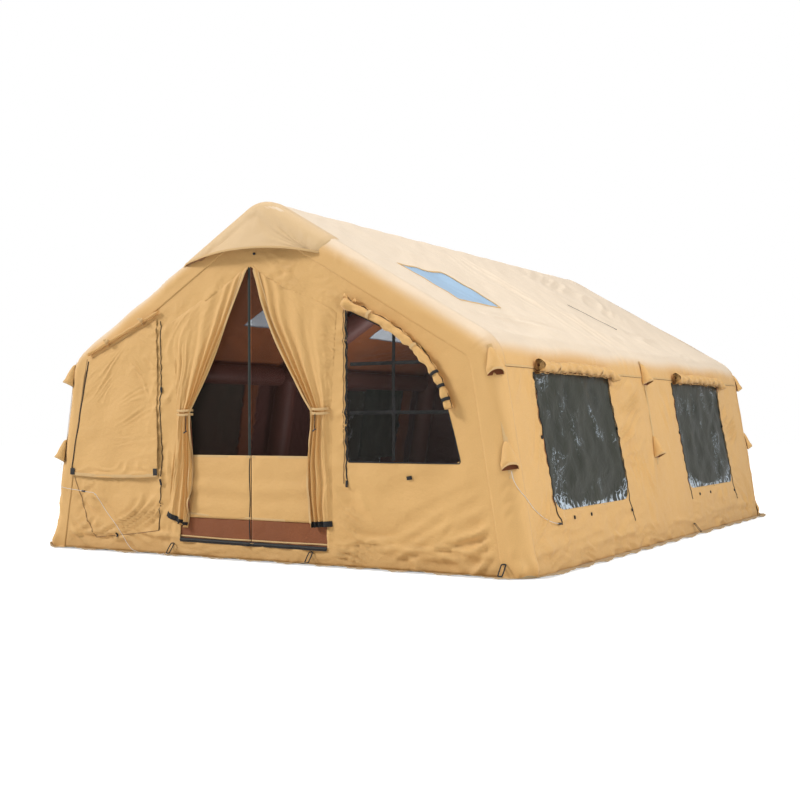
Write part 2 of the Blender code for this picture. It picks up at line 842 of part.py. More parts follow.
def make_door():
    """Two inner leaves that meet at the centre zip, the slider, and the tape on the sill."""
    near = -half_length + skin + gap
    far = near + leaf_thickness
    outline = door_outline(leaf_lap)
    for side, label in ((-1, "left"), (1, "right")):
        outer = door_centre + side * (door_half_width + leaf_lap)
        meet = door_centre + side * gap
        apex = outline[3][1]
        shoulder = outline[2][1]
        drop = (apex - shoulder) / (door_half_width + leaf_lap) * gap
        low = outline[0][1]
        leaf = np.array(((outer, low), (meet, low), (meet, apex - drop), (outer, shoulder)))
        rings = np.array((on_end(leaf, near), on_end(leaf, far)))
        pivot = np.array((outer, (near + far) / 2, 0))
        thing = ring_body("door_leaf_" + label, rings - pivot, mesh_cloth())
        thing.location = pivot
    front = near - slider_body_gap
    right = door_centre - gap
    box = ((right - slider_width, slider_z - slider_height / 2), (right, slider_z - slider_height / 2),
           (right, slider_z + slider_height / 2), (right - slider_width, slider_z + slider_height / 2))
    ring_body("door_zip_slider", (on_end(box, front), on_end(box, front - slider_depth)), black_plastic())
    top = door_sill - sill_tape_drop
    half = door_half_width
    tape = ((door_centre - half, top - sill_tape_height), (door_centre + half, top - sill_tape_height),
            (door_centre + half, top), (door_centre - half, top))
    face = -half_length - gap
    ring_body("door_sill_zip", (on_end(tape, face), on_end(tape, face - sill_tape_thickness)), black_webbing())


def make_cover():
    """The closed cover of the front left window, hung from its sloping top edge."""
    top_inner = np.array((-cover_inner_x, roof_z(cover_inner_x) - cover_inner_drop))
    top_outer = np.array((cover_outer_margin - wall_x(cover_outer_height), cover_outer_height))
    foot_inner_corner = np.array((-cover_foot_inner_x, cover_foot))
    foot_outer_corner = np.array((cover_foot_margin - wall_x(cover_foot), cover_foot))
    back = []
    for row in range(cover_rows + 1):
        down = row / cover_rows
        line = []
        for column in range(cover_columns + 1):
            along = column / cover_columns
            top = top_inner + (top_outer - top_inner) * along
            foot = foot_inner_corner + (foot_outer_corner - foot_inner_corner) * along
            place = top + (foot - top) * down
            wave = (1 - math.cos(math.tau * cover_ripples * (along * cover_slant_share + down))) / 2
            stand = cover_ripple * wave * math.sin(math.pi * down) + cover_hem_stand * down ** 4
            line.append((place[0], -half_length - gap - stand, place[1]))
        back.append(line)
    back = np.array(back)
    pivot = np.array((top_inner[0], -half_length - gap - skin / 2, top_inner[1]))
    thing = slab("window_cover_left", back - pivot, back - pivot - (0, skin, 0), wall_cloth())
    thing.location = pivot


def roll_along(name, centres, across, up, radius):
    """A rolled cover: an uneven tube along a line of centres."""
    rings = []
    last = len(centres) - 1
    for index, centre in enumerate(centres):
        swell = 1 - roll_lump_share * (1 - math.cos(roll_lumps * index)) / 2
        taper = 1 - roll_lump_share if index in (0, last) else 1
        rings.append(circle(centre, across[index], up[index], radius * swell * taper, roll_sides))
    return ring_body(name, rings, wall_cloth())


def make_side_roll(side, label, place, centre_y):
    """The cover of a side window, rolled up above it."""
    half = side_window_width / 2 + roll_overhang
    ys = np.linspace(centre_y - half, centre_y + half, roll_rings)
    z = side_window_high() + roll_rise
    x = side * (wall_x(z) + (roll_radius + gap) / math.cos(lean))
    centres = [(x, y, z) for y in ys]
    across = [(side * wall_normal[0], 0, wall_normal[1])] * roll_rings
    up = [(-side * wall_normal[1], 0, wall_normal[0])] * roll_rings
    roll_along("rolled_cover_" + label + "_" + place, centres, across, up, roll_radius)


def make_front_roll():
    """The cover of the front right window, rolled along its top and down its outer side."""
    start = np.array((front_roll_start_x, roof_z(front_roll_start_x) - front_roll_start_drop))
    bend = np.array((front_roll_bend_x, roof_z(front_roll_bend_x) - front_roll_bend_drop))
    end = np.array((wall_x(front_roll_end_z) - front_roll_end_margin, front_roll_end_z))
    shares = np.linspace(0, 1, roll_rings)
    line = [start * (1 - t) ** 2 + 2 * bend * t * (1 - t) + end * t ** 2 for t in shares]
    slopes = [(bend - start) * (1 - t) + (end - bend) * t for t in shares]
    y = -half_length - gap - front_roll_radius
    centres = [(point[0], y, point[1]) for point in line]
    across = [(-step[1] / np.hypot(*step), 0, step[0] / np.hypot(*step)) for step in slopes]
    up = [(0, -1, 0)] * roll_rings
    roll_along("rolled_cover_front", centres, across, up, front_roll_radius)


def on_leg(side, arch_y, turn, height, out, along):
    """A place on an arch leg: out from its cloth and along it, turned round the arch's corner.

    The corner's cloth has flat facets, and a turned place lies on the middle of one.
    """
    end = math.copysign(1, arch_y)
    facet = math.pi / 2 / sleeve_corner_steps
    flat = sleeve_radius * (math.cos(facet / 2) if turn else 1)
    depth = sleeve_radius - (flat + out) * math.cos(turn) + along * math.sin(turn)
    across = (flat + out) * math.sin(turn) + along * math.cos(turn)
    return (side * wall_x(height, depth), arch_y + end * across, height)


def pocket_grid(side, arch_y, turn, mouth_z, radius_less):
    """One face of a half cone, tip up, on an arch leg."""
    grid = []
    for row in range(pocket_rows + 1):
        share = row / pocket_rows
        radius = pocket_tip_radius + (pocket_mouth_radius - pocket_tip_radius) * share ** pocket_flare
        radius = radius - radius_less
        height = mouth_z + pocket_length * (1 - share)
        angles = [math.pi * column / pocket_sides for column in range(pocket_sides + 1)]
        grid.append([
            on_leg(side, arch_y, turn, height, pocket_seat + radius * math.sin(angle), radius * math.cos(angle))
            for angle in angles
        ])
    return grid


def make_pocket_pair(side, label, arch_y, turn):
    """Two guy pockets of an arch leg, joined by the tape that they are sewn to."""
    foot = lower_pocket_mouth
    top = upper_pocket_mouth + pocket_length + tape_overrun
    half = tape_half_width
    outline = ((-half, foot), (half, foot), (half, top), (-half, top))
    rings = [
        [on_leg(side, arch_y, turn, height, out, along) for along, height in outline]
        for out in (gap, gap + tape_thickness)
    ]
    pair = ring_body("guy_pockets_" + label, rings, wall_cloth())
    for place, mouth in (("upper", upper_pocket_mouth), ("lower", lower_pocket_mouth)):
        outer = pocket_grid(side, arch_y, turn, mouth, 0.0)
        inner = pocket_grid(side, arch_y, turn, mouth, pocket_wall)
        cone = slab("join_pocket_" + label + "_" + place, inner, outer, wall_cloth())
        cone.hide_render = True
        cone.display_type = "WIRE"
        combine(pair, cone, "UNION")


def make_pockets():
    """Guy pockets on both legs of the three arches; those of the end arches sit on the corner."""
    end = half_length - sleeve_radius
    turn = math.pi / 2 / sleeve_corner_steps * (pocket_facet + 1 / 2)
    for place, arch_y, angle in (("front", -end, turn), ("middle", middle_arch_y, 0), ("rear", end, turn)):
        make_pocket_pair(1, "right_" + place, arch_y, angle)
        make_pocket_pair(-1, "left_" + place, arch_y, angle)


def make_loop(name, anchor, across, outward):
    """A webbing loop from the foot of a wall down to the skirt's edge."""
    across = np.array(across, float)
    outward = np.array(outward, float)
    up = np.array((0, 0, 1.0))
    run = loop_foot_out * outward - (loop_top - loop_foot) * up
    along = run / np.linalg.norm(run)
    thick = np.cross(along, across)
    thick = thick * math.copysign(1, thick @ outward)
    length = np.linalg.norm(run)
    seat = gap + loop_thickness / 2 * (thick @ outward)
    start = np.array(anchor, float) + seat * outward + loop_top * up
    rings = []
    for sign_a, sign_b in ((0, -1), (0, 1), (1, 1), (1, -1)):
        corner = start + along * length * sign_a + across * loop_width / 2 * sign_b
        inner = corner - across * loop_band * sign_b + along * loop_band * (1 if sign_a == 0 else -1)
        half = thick * loop_thickness / 2
        rings.append((corner + half, inner + half, inner - half, corner - half))
    ring_body(name, rings, black_webbing(), closed=True)


def make_loops():
    """Peg loops along the front, and one on the right side."""
    corner_loop_x = base_half_width - corner_loop_inset
    for number, x in enumerate((left_loop_x, right_loop_x, corner_loop_x), 1):
        make_loop("peg_loop_front_" + str(number), (x, -half_length, 0), (1, 0, 0), (0, -1, 0))
    make_loop("peg_loop_side", (wall_x(loop_top), side_loop_y, 0), (0, 1, 0), (1, 0, 0))


def make_valve(rear_tube, rear_sleeve):
    """The inflation valve: its hole through sleeve and tube, its body and its screw cap."""
    x = wall_x(valve_height, sleeve_radius + valve_offset)
    across = (1, 0, 0)
    up = (0, 0, 1)

    def rings(places):
        return [circle((x, y, valve_height), across, up, radius, valve_sides) for y, radius in places]

    hole = valve_neck_radius + gap
    face = half_length
    cutter = make_cutter("cut_valve_hole", rings(((face + cut_overrun, hole), (face - 2 * cut_overrun, hole))))
    combine(rear_tube, cutter, "DIFFERENCE")
    combine(rear_sleeve, cutter, "DIFFERENCE")
    seat = face + gap
    flange = seat + valve_flange_thickness
    collar = flange + valve_collar_height
    tip = face - valve_neck_length
    body = ((collar, valve_bore_radius), (collar, valve_collar_radius), (flange, valve_collar_radius),
            (flange, valve_flange_radius), (seat, valve_flange_radius), (seat, valve_neck_radius),
            (tip, valve_neck_radius), (tip, valve_bore_radius))
    ring_body("valve_body", rings(body), black_plastic(), closed=True)
    under = collar + gap
    plug = valve_bore_radius - valve_plug_clearance
    cap = ((collar - valve_plug_length, plug), (under, plug), (under, valve_cap_radius),
           (under + valve_cap_height, valve_cap_radius))
    thing = ring_body("valve_cap", np.array(rings(cap)) - (x, seat, valve_height), black_plastic())
    thing.location = (x, seat, valve_height)


def smooth_route(route, count):
    """Evenly numbered points on a smooth curve through a route's own points."""
    route = np.asarray(route, float)
    before = route[0] - (route[1] - route[0])
    after = route[-1] + (route[-1] - route[-2])
    padded = np.vstack((before, route, after))
    points = []
    for place in np.linspace(0, len(route) - 1, count):
        index = min(int(place), len(route) - 2)
        powers = (place - index) ** np.arange(4)
        points.append(powers @ np.array(curve_shares) @ padded[index:index + 4])
    return np.array(points)


def cord(name, route, count, material):
    """A round cord along a route, as a curve with filled ends."""
    points = smooth_route(route, count)
    curve = bpy.data.curves.new(name, "CURVE")
    curve.dimensions = "3D"
    curve.bevel_depth = line_radius
    curve.bevel_resolution = 2
    curve.use_fill_caps = True
    spline = curve.splines.new("POLY")
    spline.points.add(len(points) - 1)
    for target, point in zip(spline.points, points):
        target.co = (*point, 1.0)
    curve.materials.append(material)
    thing = bpy.data.objects.new(name, curve)
    bpy.context.scene.collection.objects.link(thing)
    print(name, "length", round(float(np.linalg.norm(np.diff(points, axis=0), axis=1).sum()), 4))


def make_tensioner():
    """The line tensioner, a short sleeve that slides on the left guy line."""
    before, here, after = (np.array(left_line_route[tensioner_at + step]) for step in (-1, 0, 1))
    along = (after - before) / np.linalg.norm(after - before)
    side = np.cross(along, (0, 1, 0))
    side = side / np.linalg.norm(side)
    up = np.cross(side, along)
    half = tensioner_length / 2
    bore = line_radius + tensioner_clearance
    places = ((-half, bore), (-half, tensioner_radius), (half, tensioner_radius), (half, bore))
    rings = [circle(here + along * place, side, up, radius, tensioner_sides) for place, radius in places]
    thing = ring_body("line_tensioner", np.array(rings) - here, black_plastic(), closed=True)
    thing.location = here


def make_cords():
    """The two guy lines, and the thin cord that lies on the roof."""
    cord("guy_line_left", left_line_route, line_points, white_cord())
    cord("guy_line_right", right_line_route, right_line_points, white_cord())
    lift = -gap - line_radius
    route = [(x, y, roof_z(x, lift)) for x, y in roof_line_route_xy]
    cord("roof_cord", route, roof_line_points, black_webbing())


def build():
    """The whole tent."""
    clear_scene()
    rear_tube = make_frame()
    arch_sleeve("front_arch_sleeve", -1)
    rear_sleeve = arch_sleeve("rear_arch_sleeve", 1)
    make_roof_panel(1, "right", (right_skylight_y,))
    make_roof_panel(-1, "left", (left_skylight_front_y, left_skylight_rear_y))
    make_side_wall(1, "right")
    make_side_wall(-1, "left")
    make_end_walls()
    make_floor()
    make_hood()
    make_curtain(-1, "left", left_foot_outer, left_foot_inner)
    make_curtain(1, "right", right_foot_outer, right_foot_inner)
    for side, label in ((-1, "left"), (1, "right")):
        make_tieback(side, label)
        for place, centre_y in side_windows():
            make_side_roll(side, label, place, centre_y)
    make_front_roll()
    make_door()
    make_cover()
    make_pockets()
    make_loops()
    make_valve(rear_tube, rear_sleeve)
    make_cords()
    make_tensioner()


build()
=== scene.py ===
# %% [markdown]
# An air tent for a family, dressed piece by piece.
# The solid model gives every piece its place and its size, and here each piece gets the shape and finish
# that cloth, film, webbing and cord really have. Every length is in metres.

# %% Load the frame
import math

import bpy
import numpy as np
from mathutils import Matrix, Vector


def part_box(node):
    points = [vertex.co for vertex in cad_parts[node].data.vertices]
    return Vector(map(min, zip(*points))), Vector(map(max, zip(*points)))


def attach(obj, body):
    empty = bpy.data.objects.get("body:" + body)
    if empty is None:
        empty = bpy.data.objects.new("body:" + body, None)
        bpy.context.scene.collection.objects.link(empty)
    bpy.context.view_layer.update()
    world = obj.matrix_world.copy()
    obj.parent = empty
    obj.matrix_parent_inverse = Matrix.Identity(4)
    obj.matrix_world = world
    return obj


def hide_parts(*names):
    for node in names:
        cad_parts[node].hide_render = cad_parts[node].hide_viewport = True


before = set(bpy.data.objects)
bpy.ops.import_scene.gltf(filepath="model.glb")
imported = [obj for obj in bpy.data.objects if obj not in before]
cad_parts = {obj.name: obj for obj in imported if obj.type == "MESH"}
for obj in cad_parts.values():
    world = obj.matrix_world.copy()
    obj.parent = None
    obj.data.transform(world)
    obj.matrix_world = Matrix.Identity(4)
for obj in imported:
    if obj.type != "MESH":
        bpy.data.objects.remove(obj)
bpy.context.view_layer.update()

# %% [markdown]
# The camera stands to the right of the door, about ten metres off, at the height of a person's chest.
# Its direction could be set by aiming it at a point. Here it is built from a turn, a tilt and a small roll,
# because those three numbers came out of fitting the tent's straight edges.

# %% Camera
def add_object(name, data, directions=None):
    """A new object in the scene; its right, upward and backward directions and its place, where given, turn it."""
    thing = bpy.data.objects.new(name, data)
    bpy.context.scene.collection.objects.link(thing)
    if directions is not None:
        axes = np.eye(4)
        axes[:3] = np.column_stack(directions)
        thing.matrix_world = Matrix(axes.tolist())
    return thing


camera_turn, camera_tilt, camera_roll = -0.54221, 0.01885, -0.00544
ahead = np.array((math.sin(camera_turn) * math.cos(camera_tilt), math.cos(camera_turn) * math.cos(camera_tilt),
                  math.sin(camera_tilt)))
level = np.array((math.cos(camera_turn), -math.sin(camera_turn), 0))
plumb = np.cross(level, ahead)
image_right = math.cos(camera_roll) * level + math.sin(camera_roll) * plumb
image_up = math.cos(camera_roll) * plumb - math.sin(camera_roll) * level
camera = add_object("camera", bpy.data.cameras.new("camera"),
                    (image_right, image_up, -ahead, (5.49282717, -10.02936924, 1.04206905)))
camera.data.lens = 52.59
camera.data.sensor_width = 36
bpy.context.scene.camera = camera
bpy.context.scene.view_settings.view_transform = "Standard"
print("camera lens", camera.data.lens, "mm")

# %% [markdown]
# Every finish is a small network of nodes. One helper fills a node's inputs: a number is written into the
# socket, and another node's output is linked to it. The short helpers after it add a noise, a mix of two
# colours, a change of range, a step of arithmetic or a bump, and each hands back the socket that the next
# one reads.

# %% Node helpers
def fill(tree, node, inputs):
    """Write plain values into a node's inputs and link sockets to them."""
    for key, value in inputs.items():
        if isinstance(value, bpy.types.NodeSocket):
            tree.links.new(value, node.inputs[key])
        else:
            node.inputs[key].default_value = value


def add_node(tree, kind, inputs=None, **options):
    """Add a node of a kind, set its options and fill its inputs."""
    made = tree.nodes.new("ShaderNode" + kind)
    for key, value in options.items():
        setattr(made, key, value)
    fill(tree, made, inputs or {})
    return made


def noise(tree, vector, scale, detail, roughness=0.5, distortion=0.0, **options):
    """Cloudy noise over a place."""
    return add_node(tree, "TexNoise", {"Vector": vector, "Scale": scale, "Detail": detail, "Roughness": roughness,
                                       "Distortion": distortion}, **options).outputs["Fac"]


def wave(tree, vector, pitch, way, distortion, detail=2.0):
    """Even bands with a pitch in metres."""
    return add_node(tree, "TexWave", {"Vector": vector, "Scale": math.tau / 20 / pitch, "Distortion": distortion,
                                      "Detail": detail}, bands_direction=way).outputs["Fac"]


def mix(tree, share, first, second, **options):
    """Two colours mixed by a share; a plain colour is three numbers."""
    first, second = ((*colour, 1) if isinstance(colour, tuple) else colour for colour in (first, second))
    return add_node(tree, "MixRGB", {"Fac": share, "Color1": first, "Color2": second}, **options).outputs[0]


def ranged(tree, value, low, high, to_low, to_high):
    """A value between two limits, carried over to between two others."""
    return add_node(tree, "MapRange", {"Value": value, "From Min": low, "From Max": high, "To Min": to_low,
                                       "To Max": to_high}).outputs[0]


def maths(tree, operation, first, second=0.5):
    """One step of arithmetic on two values."""
    return add_node(tree, "Math", {0: first, 1: second}, operation=operation).outputs[0]


def bump(tree, height, strength, distance, **below):
    """Relief from a height, on top of the relief below it."""
    return add_node(tree, "Bump", {"Height": height, "Strength": strength, "Distance": distance, **below}).outputs[0]


def new_finish(name, settings):
    """A material with a Principled shader, whose plain numbers are set on its own sockets."""
    finish = bpy.data.materials.new(name)
    finish.use_nodes = True
    tree = finish.node_tree
    shader = tree.nodes["Principled BSDF"]
    fill(tree, shader, settings)
    return finish, tree, shader


def flat_of(tree):
    """A piece's own flat coordinates."""
    return add_node(tree, "UVMap").outputs["UV"]


def place_of(tree):
    """The place in space."""
    return add_node(tree, "TexCoord").outputs["Object"]


def shade_of(tree):
    """A piece's own attribute named shade."""
    return add_node(tree, "Attribute", attribute_name="shade").outputs["Fac"]


# %% [markdown]
# Tent cloth is a plain weave of polyester with a coat on its inside. Seen from a few metres it shows cloudy
# patches of colour, a faint weave, and dust along the ground. The weave follows the cloth, so it reads the
# piece's own flat coordinates in metres. The clouds and the dust follow the place in space.

# %% Cloth finish
thread_pitch = 0.0022


def cloth_finish(name, pale, deep, roughness, dust=0.0, band=None, crumpled=1.0):
    """Woven cloth: clouds mix two colours, the weave and fine slubs give the relief, dust darkens its foot.

    A band colour, where given, is painted shade: it is mixed in by the piece's own attribute named shade.
    """
    finish, tree, shader = new_finish(name, {"Sheen Weight": 0.12, "Sheen Roughness": 0.5,
                                             "Specular IOR Level": 0.28})
    flat, place = flat_of(tree), place_of(tree)
    clouds = noise(tree, place, 2.3, 5.0, 0.55)
    colour = mix(tree, clouds, deep, pale)
    if band is not None:
        # painted shade: the band colour where the piece's attribute is high
        colour = mix(tree, shade_of(tree), colour, band)
    flecks = ranged(tree, noise(tree, flat, 160.0, 3.0, 0.6), 0.3, 0.7, 0.93, 1.05)
    colour = mix(tree, 1.0, colour, flecks, blend_type="MULTIPLY")
    if dust:
        height = add_node(tree, "SeparateXYZ", {"Vector": place}).outputs["Z"]
        uneven = maths(tree, "MULTIPLY", height, noise(tree, place, 6.0, 4.0))
        colour = mix(tree, ranged(tree, uneven, 0.0, 0.11, dust, 0.0), colour, (0.30, 0.24, 0.16))
    weave = maths(tree, "MULTIPLY", wave(tree, flat, thread_pitch, "X", 0.3), wave(tree, flat, thread_pitch, "Y", 0.3))
    threads = bump(tree, weave, 0.35, 0.0004)
    relief = bump(tree, noise(tree, flat, 11.0, 6.0, 0.60), 0.8, 0.012 * crumpled, Normal=threads)
    slanted = add_node(tree, "Mapping", {"Vector": flat, "Rotation": (0, 0, 0.45), "Scale": (0.45, 1.0, 1.0)})
    ridges = noise(tree, slanted.outputs[0], 7.0, 5.0, 0.5, 0.5, noise_type="RIDGED_MULTIFRACTAL")
    fill(tree, shader, {"Base Color": colour,
                        "Roughness": ranged(tree, clouds, 0.3, 0.7, roughness - 0.06, roughness + 0.06),
                        "Normal": bump(tree, ridges, 0.9, 0.0068 * crumpled, Normal=relief)})
    return finish


tan_cloth = cloth_finish("tan wall cloth", (0.72, 0.435, 0.163), (0.655, 0.385, 0.138), 0.68, dust=0.12)
# The roof's pale cream is painted top light on the walls' tan cloth; its band colour, the tan again, is painted shade.
top_lit_cloth = cloth_finish("roof cloth pale from painted top light", (0.80, 0.655, 0.49), (0.74, 0.60, 0.445), 0.62,
                           band=(0.69, 0.412, 0.152), crumpled=0.35)
# The hood's paler colour is painted top light on the same tan cloth.
hood_cloth = cloth_finish("hood cloth pale from painted top light", (0.70, 0.485, 0.262), (0.64, 0.445, 0.232), 0.62, crumpled=0.5)
wall_lining = cloth_finish("plum wall lining", (0.115, 0.040, 0.036), (0.085, 0.032, 0.030), 0.8)
# The roof lining's rust is its inner coat, and its brightness is partly a painted glow of daylight through the roof
# cloth.
roof_lining = cloth_finish("rust roof lining brightened by painted glow", (0.42, 0.130, 0.036), (0.34, 0.105, 0.030), 0.8)
hood_lining = cloth_finish("brown hood lining", (0.34, 0.16, 0.06), (0.26, 0.12, 0.045), 0.8)
blind_cloth = cloth_finish("dark green blind cloth", (0.030, 0.048, 0.038), (0.022, 0.036, 0.029), 0.8)
rust_cloth = cloth_finish("rust sill cloth", (0.27, 0.088, 0.030), (0.20, 0.064, 0.024), 0.75)
floor_finish = cloth_finish("sand floor cloth", (0.58, 0.40, 0.20), (0.47, 0.34, 0.17), 0.72, dust=0.3)
print("cloth finishes made")

# %% [markdown]
# Window film is soft vinyl: dark from outside, glossy, and full of slow ripples that catch the light.
# The ripples are in the mesh. The node network adds a faint cloudiness whose paler colour is partly painted
# reflection, glints of painted sky reflection, and the fine waviness of a folded film.

# %% Film finish
def film_finish(name, pale, deep, roughness, see_through, ripple, glints=0.0):
    """Glossy film: a cloudy noise mixes two colours and roughness, slow waves bend its reflections.

    The noise's paler colour is partly the film's own cloudiness and partly painted reflection. Glints are painted
    reflection of the sky: pale streaks on ridges of a noise above a limit, and the piece's attribute shade lowers
    the limit where the film is most crumpled, so that more of them are painted there.
    """
    finish, tree, shader = new_finish(name, {"Alpha": 1.0 - see_through, "Specular IOR Level": 0.35})
    place = place_of(tree)
    # the paler colour of this noise is partly painted reflection
    haze_and_painted_reflection = noise(tree, place, 3.4, 4.0, 0.6)
    colour = mix(tree, haze_and_painted_reflection, deep, pale)
    if glints:
        shade = shade_of(tree)
        folded = maths(tree, "ABSOLUTE", maths(tree, "SUBTRACT", noise(tree, place, 7.5, 6.0, 0.62, 1.1), 0.5))
        glint_share = maths(tree, "DIVIDE", folded, ranged(tree, shade, 0.0, 1.0, 0.0075, 0.065))
        patches = maths(tree, "ADD", noise(tree, place, 4.0, 3.0), shade)
        glint_share = maths(tree, "MULTIPLY", ranged(tree, glint_share, 0.4, 1.0, glints, 0.0),
                      ranged(tree, patches, 0.53, 0.62, 0.0, 1.0))
        # painted reflection: the glints take a pale sky blue
        colour = mix(tree, glint_share, colour, (0.62, 0.72, 0.82))
    fill(tree, shader, {"Base Color": colour,
                        "Roughness": ranged(tree, haze_and_painted_reflection, 0.3, 0.7, roughness, roughness + 0.10),
                        "Normal": bump(tree, noise(tree, place, 9.0, 5.0, 0.5, 0.8), 0.7, ripple)})
    return finish


dark_film = film_finish("dark window film", (0.052, 0.054, 0.039), (0.020, 0.023, 0.017), 0.30, 0.06, 0.012, 0.9)
clear_film = film_finish("smoked window film", (0.030, 0.028, 0.024), (0.022, 0.021, 0.019), 0.25, 0.80, 0.004)
blue_film = film_finish("pale blue skylight film", (0.42, 0.59, 0.76), (0.34, 0.51, 0.70), 0.40, 0.12, 0.002)
pale_film = film_finish("clear skylight film", (0.60, 0.72, 0.84), (0.50, 0.64, 0.80), 0.40, 0.60, 0.002)
print("film finishes made")

# %% [markdown]
# Insect mesh lets most of the light through. Its threads are far finer than anything a camera sees from
# the path, so the finish is a share of openness with a slight drift and a soft relief.

# %% Mesh, webbing, plastic, cord and bladder finishes
def mesh_finish():
    """Dark brown net: the open share, the colour and the relief drift a little over the sheet."""
    finish, tree, shader = new_finish("brown insect mesh", {"Roughness": 0.9, "Specular IOR Level": 0.05})
    drift = noise(tree, flat_of(tree), 5.0, 3.0)
    fill(tree, shader, {"Alpha": ranged(tree, drift, 0.3, 0.7, 0.38, 0.46),
                        "Base Color": mix(tree, drift, (0.020, 0.011, 0.009), (0.032, 0.018, 0.014)),
                        "Normal": bump(tree, drift, 0.3, 0.002)})
    return finish


def band_finish(name, pale, deep, roughness, pitch, relief_depth):
    """Webbing, cord or zip: ribs across its length, read from its own flat coordinates, and worn high spots."""
    finish, tree, shader = new_finish(name, {"Specular IOR Level": 0.35})
    flat = flat_of(tree)
    ribs = wave(tree, flat, pitch, "DIAGONAL", 0.6, 1.0)
    wear = noise(tree, flat, 60.0, 4.0)
    fill(tree, shader, {"Base Color": mix(tree, maths(tree, "MULTIPLY", ribs, wear), deep, pale),
                        "Roughness": ranged(tree, wear, 0.0, 1.0, roughness - 0.1, roughness + 0.1),
                        "Normal": bump(tree, ribs, 0.6, relief_depth)})
    return finish


def moulded_finish(name, pale, deep, roughness):
    """Moulded plastic or welded film: fine grain, scuffs and a slight sink."""
    finish, tree, shader = new_finish(name, {"Specular IOR Level": 0.5})
    place = place_of(tree)
    scuffs = noise(tree, place, 30.0, 6.0, 0.5, 1.5)
    fill(tree, shader, {"Base Color": mix(tree, scuffs, deep, pale),
                        "Roughness": ranged(tree, scuffs, 0.35, 0.75, roughness - 0.08, roughness + 0.15),
                        "Normal": bump(tree, noise(tree, place, 240.0, 3.0), 0.3, 0.0004)})
    return finish


brown_mesh = mesh_finish()
black_web = band_finish("black webbing", (0.035, 0.034, 0.034), (0.012, 0.012, 0.013), 0.72, 0.0016, 0.0006)
zip_tape = band_finish("black zip coil", (0.050, 0.048, 0.046), (0.010, 0.010, 0.010), 0.55, 0.0030, 0.0010)
tan_strap = band_finish("tan strap", (0.74, 0.50, 0.25), (0.60, 0.39, 0.17), 0.72, 0.0018, 0.0005)
red_thread = band_finish("red thread", (0.48, 0.13, 0.04), (0.20, 0.07, 0.03), 0.7, 0.0040, 0.0006)
# This finish serves the stitch lines and the painted shadow line under the eave seam.
brown_thread_and_shadow = band_finish("brown thread and painted seam shadow", (0.36, 0.20, 0.08), (0.22, 0.12, 0.05), 0.7, 0.0040, 0.0005)
white_rope = band_finish("white cord", (0.84, 0.82, 0.78), (0.62, 0.60, 0.56), 0.7, 0.0034, 0.0006)
black_plastic = moulded_finish("black plastic", (0.028, 0.028, 0.030), (0.014, 0.014, 0.016), 0.42)
bladder = moulded_finish("plum air bladder", (0.150, 0.052, 0.040), (0.115, 0.042, 0.034), 0.55)
print("webbing, plastic, cord and bladder finishes made")

# %% [markdown]
# Sheets, tubes and ribbons are all grids of points. One helper numbers a grid's faces, and one writes
# points, faces, flat coordinates and finishes into a new object. Another gives a sheet its thickness and
# its second finish on the inner side.

# %% Grids and surfaces
sides = ((1, "right"), (-1, "left"))
cloth_thick, film_thick, floor_thick = 0.0016, 0.0008, 0.0022


def unit(vectors):
    """The same directions with a length of one."""
    return np.asarray(vectors, float) / np.linalg.norm(vectors, axis=-1, keepdims=True)


def path_length(path):
    """Length along a path at each of its points."""
    return np.concatenate(((0,), np.cumsum(np.linalg.norm(np.diff(path, axis=0), axis=1))))


def box_of(node):
    """The lowest corner, the highest corner and the middle of a solid's box."""
    low, high = (np.array(corner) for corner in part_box(node))
    return low, high, (low + high) / 2


def grid_faces(rows, columns, round_it=False):
    """Four-cornered faces of a grid stored row by row; one that goes round joins its last column to its first."""
    near = np.arange(columns if round_it else columns - 1)
    far = (near + 1) % columns
    start = (np.arange(rows - 1) * columns)[:, None]
    return np.stack((start + near, start + far, start + columns + far, start + columns + near), -1).reshape(-1, 4)


def ring_faces(rows, columns):
    """Faces of a grid that goes round both ways: its last row joins its first."""
    ring, last = np.arange(columns), (rows - 1) * columns
    after = (ring + 1) % columns
    return np.vstack((grid_faces(rows, columns, True), np.stack((last + ring, last + after, after, ring), -1)))


def caps(rows, columns):
    """The first and the last row of a grid that goes round, as the two faces that close it."""
    return [list(range(columns))[::-1], list(range((rows - 1) * columns, rows * columns))]


def mesh_object(name, points, faces, finishes, flat):
    """A smooth mesh object with its flat coordinates and its finishes."""
    mesh = bpy.data.meshes.new(name)
    mesh.from_pydata(points.tolist(), [], faces)
    loops = np.zeros(len(mesh.loops), np.int32)
    mesh.loops.foreach_get("vertex_index", loops)
    layer = mesh.uv_layers.new(name="UVMap")
    layer.data.foreach_set("uv", np.asarray(flat, np.float32).reshape(-1, 2)[loops].ravel())
    mesh.polygons.foreach_set("use_smooth", np.ones(len(mesh.polygons), bool))
    for finish in finishes if isinstance(finishes, list) else [finishes]:
        mesh.materials.append(finish)
    return add_object(name, mesh)


def surface(name, points, faces, finishes, flat, towards=None, ends=()):
    """A surface whose faces are turned towards a direction, or away from its own middle.

    A face's area as a vector is half the cross product of its diagonals, and the sum tells which way it looks.
    """
    points, faces = np.asarray(points, float).reshape(-1, 3), np.asarray(faces)
    corners = points[faces]
    areas = np.cross(corners[:, 2] - corners[:, 0], corners[:, 3] - corners[:, 1]) / 2
    if (areas * (corners.mean(axis=1) - points.mean(axis=0) if towards is None else towards)).sum() < 0:
        faces, ends = faces[:, ::-1], [end[::-1] for end in ends]
    return mesh_object(name, points, faces.tolist() + list(ends), finishes, flat)


def belongs(thing, body, slot, *nodes):
    """The piece moves with a body and stands for these solids, which it hides; the slot is not used."""
    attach(thing, body)
    if nodes:
        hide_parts(*nodes)
    return thing


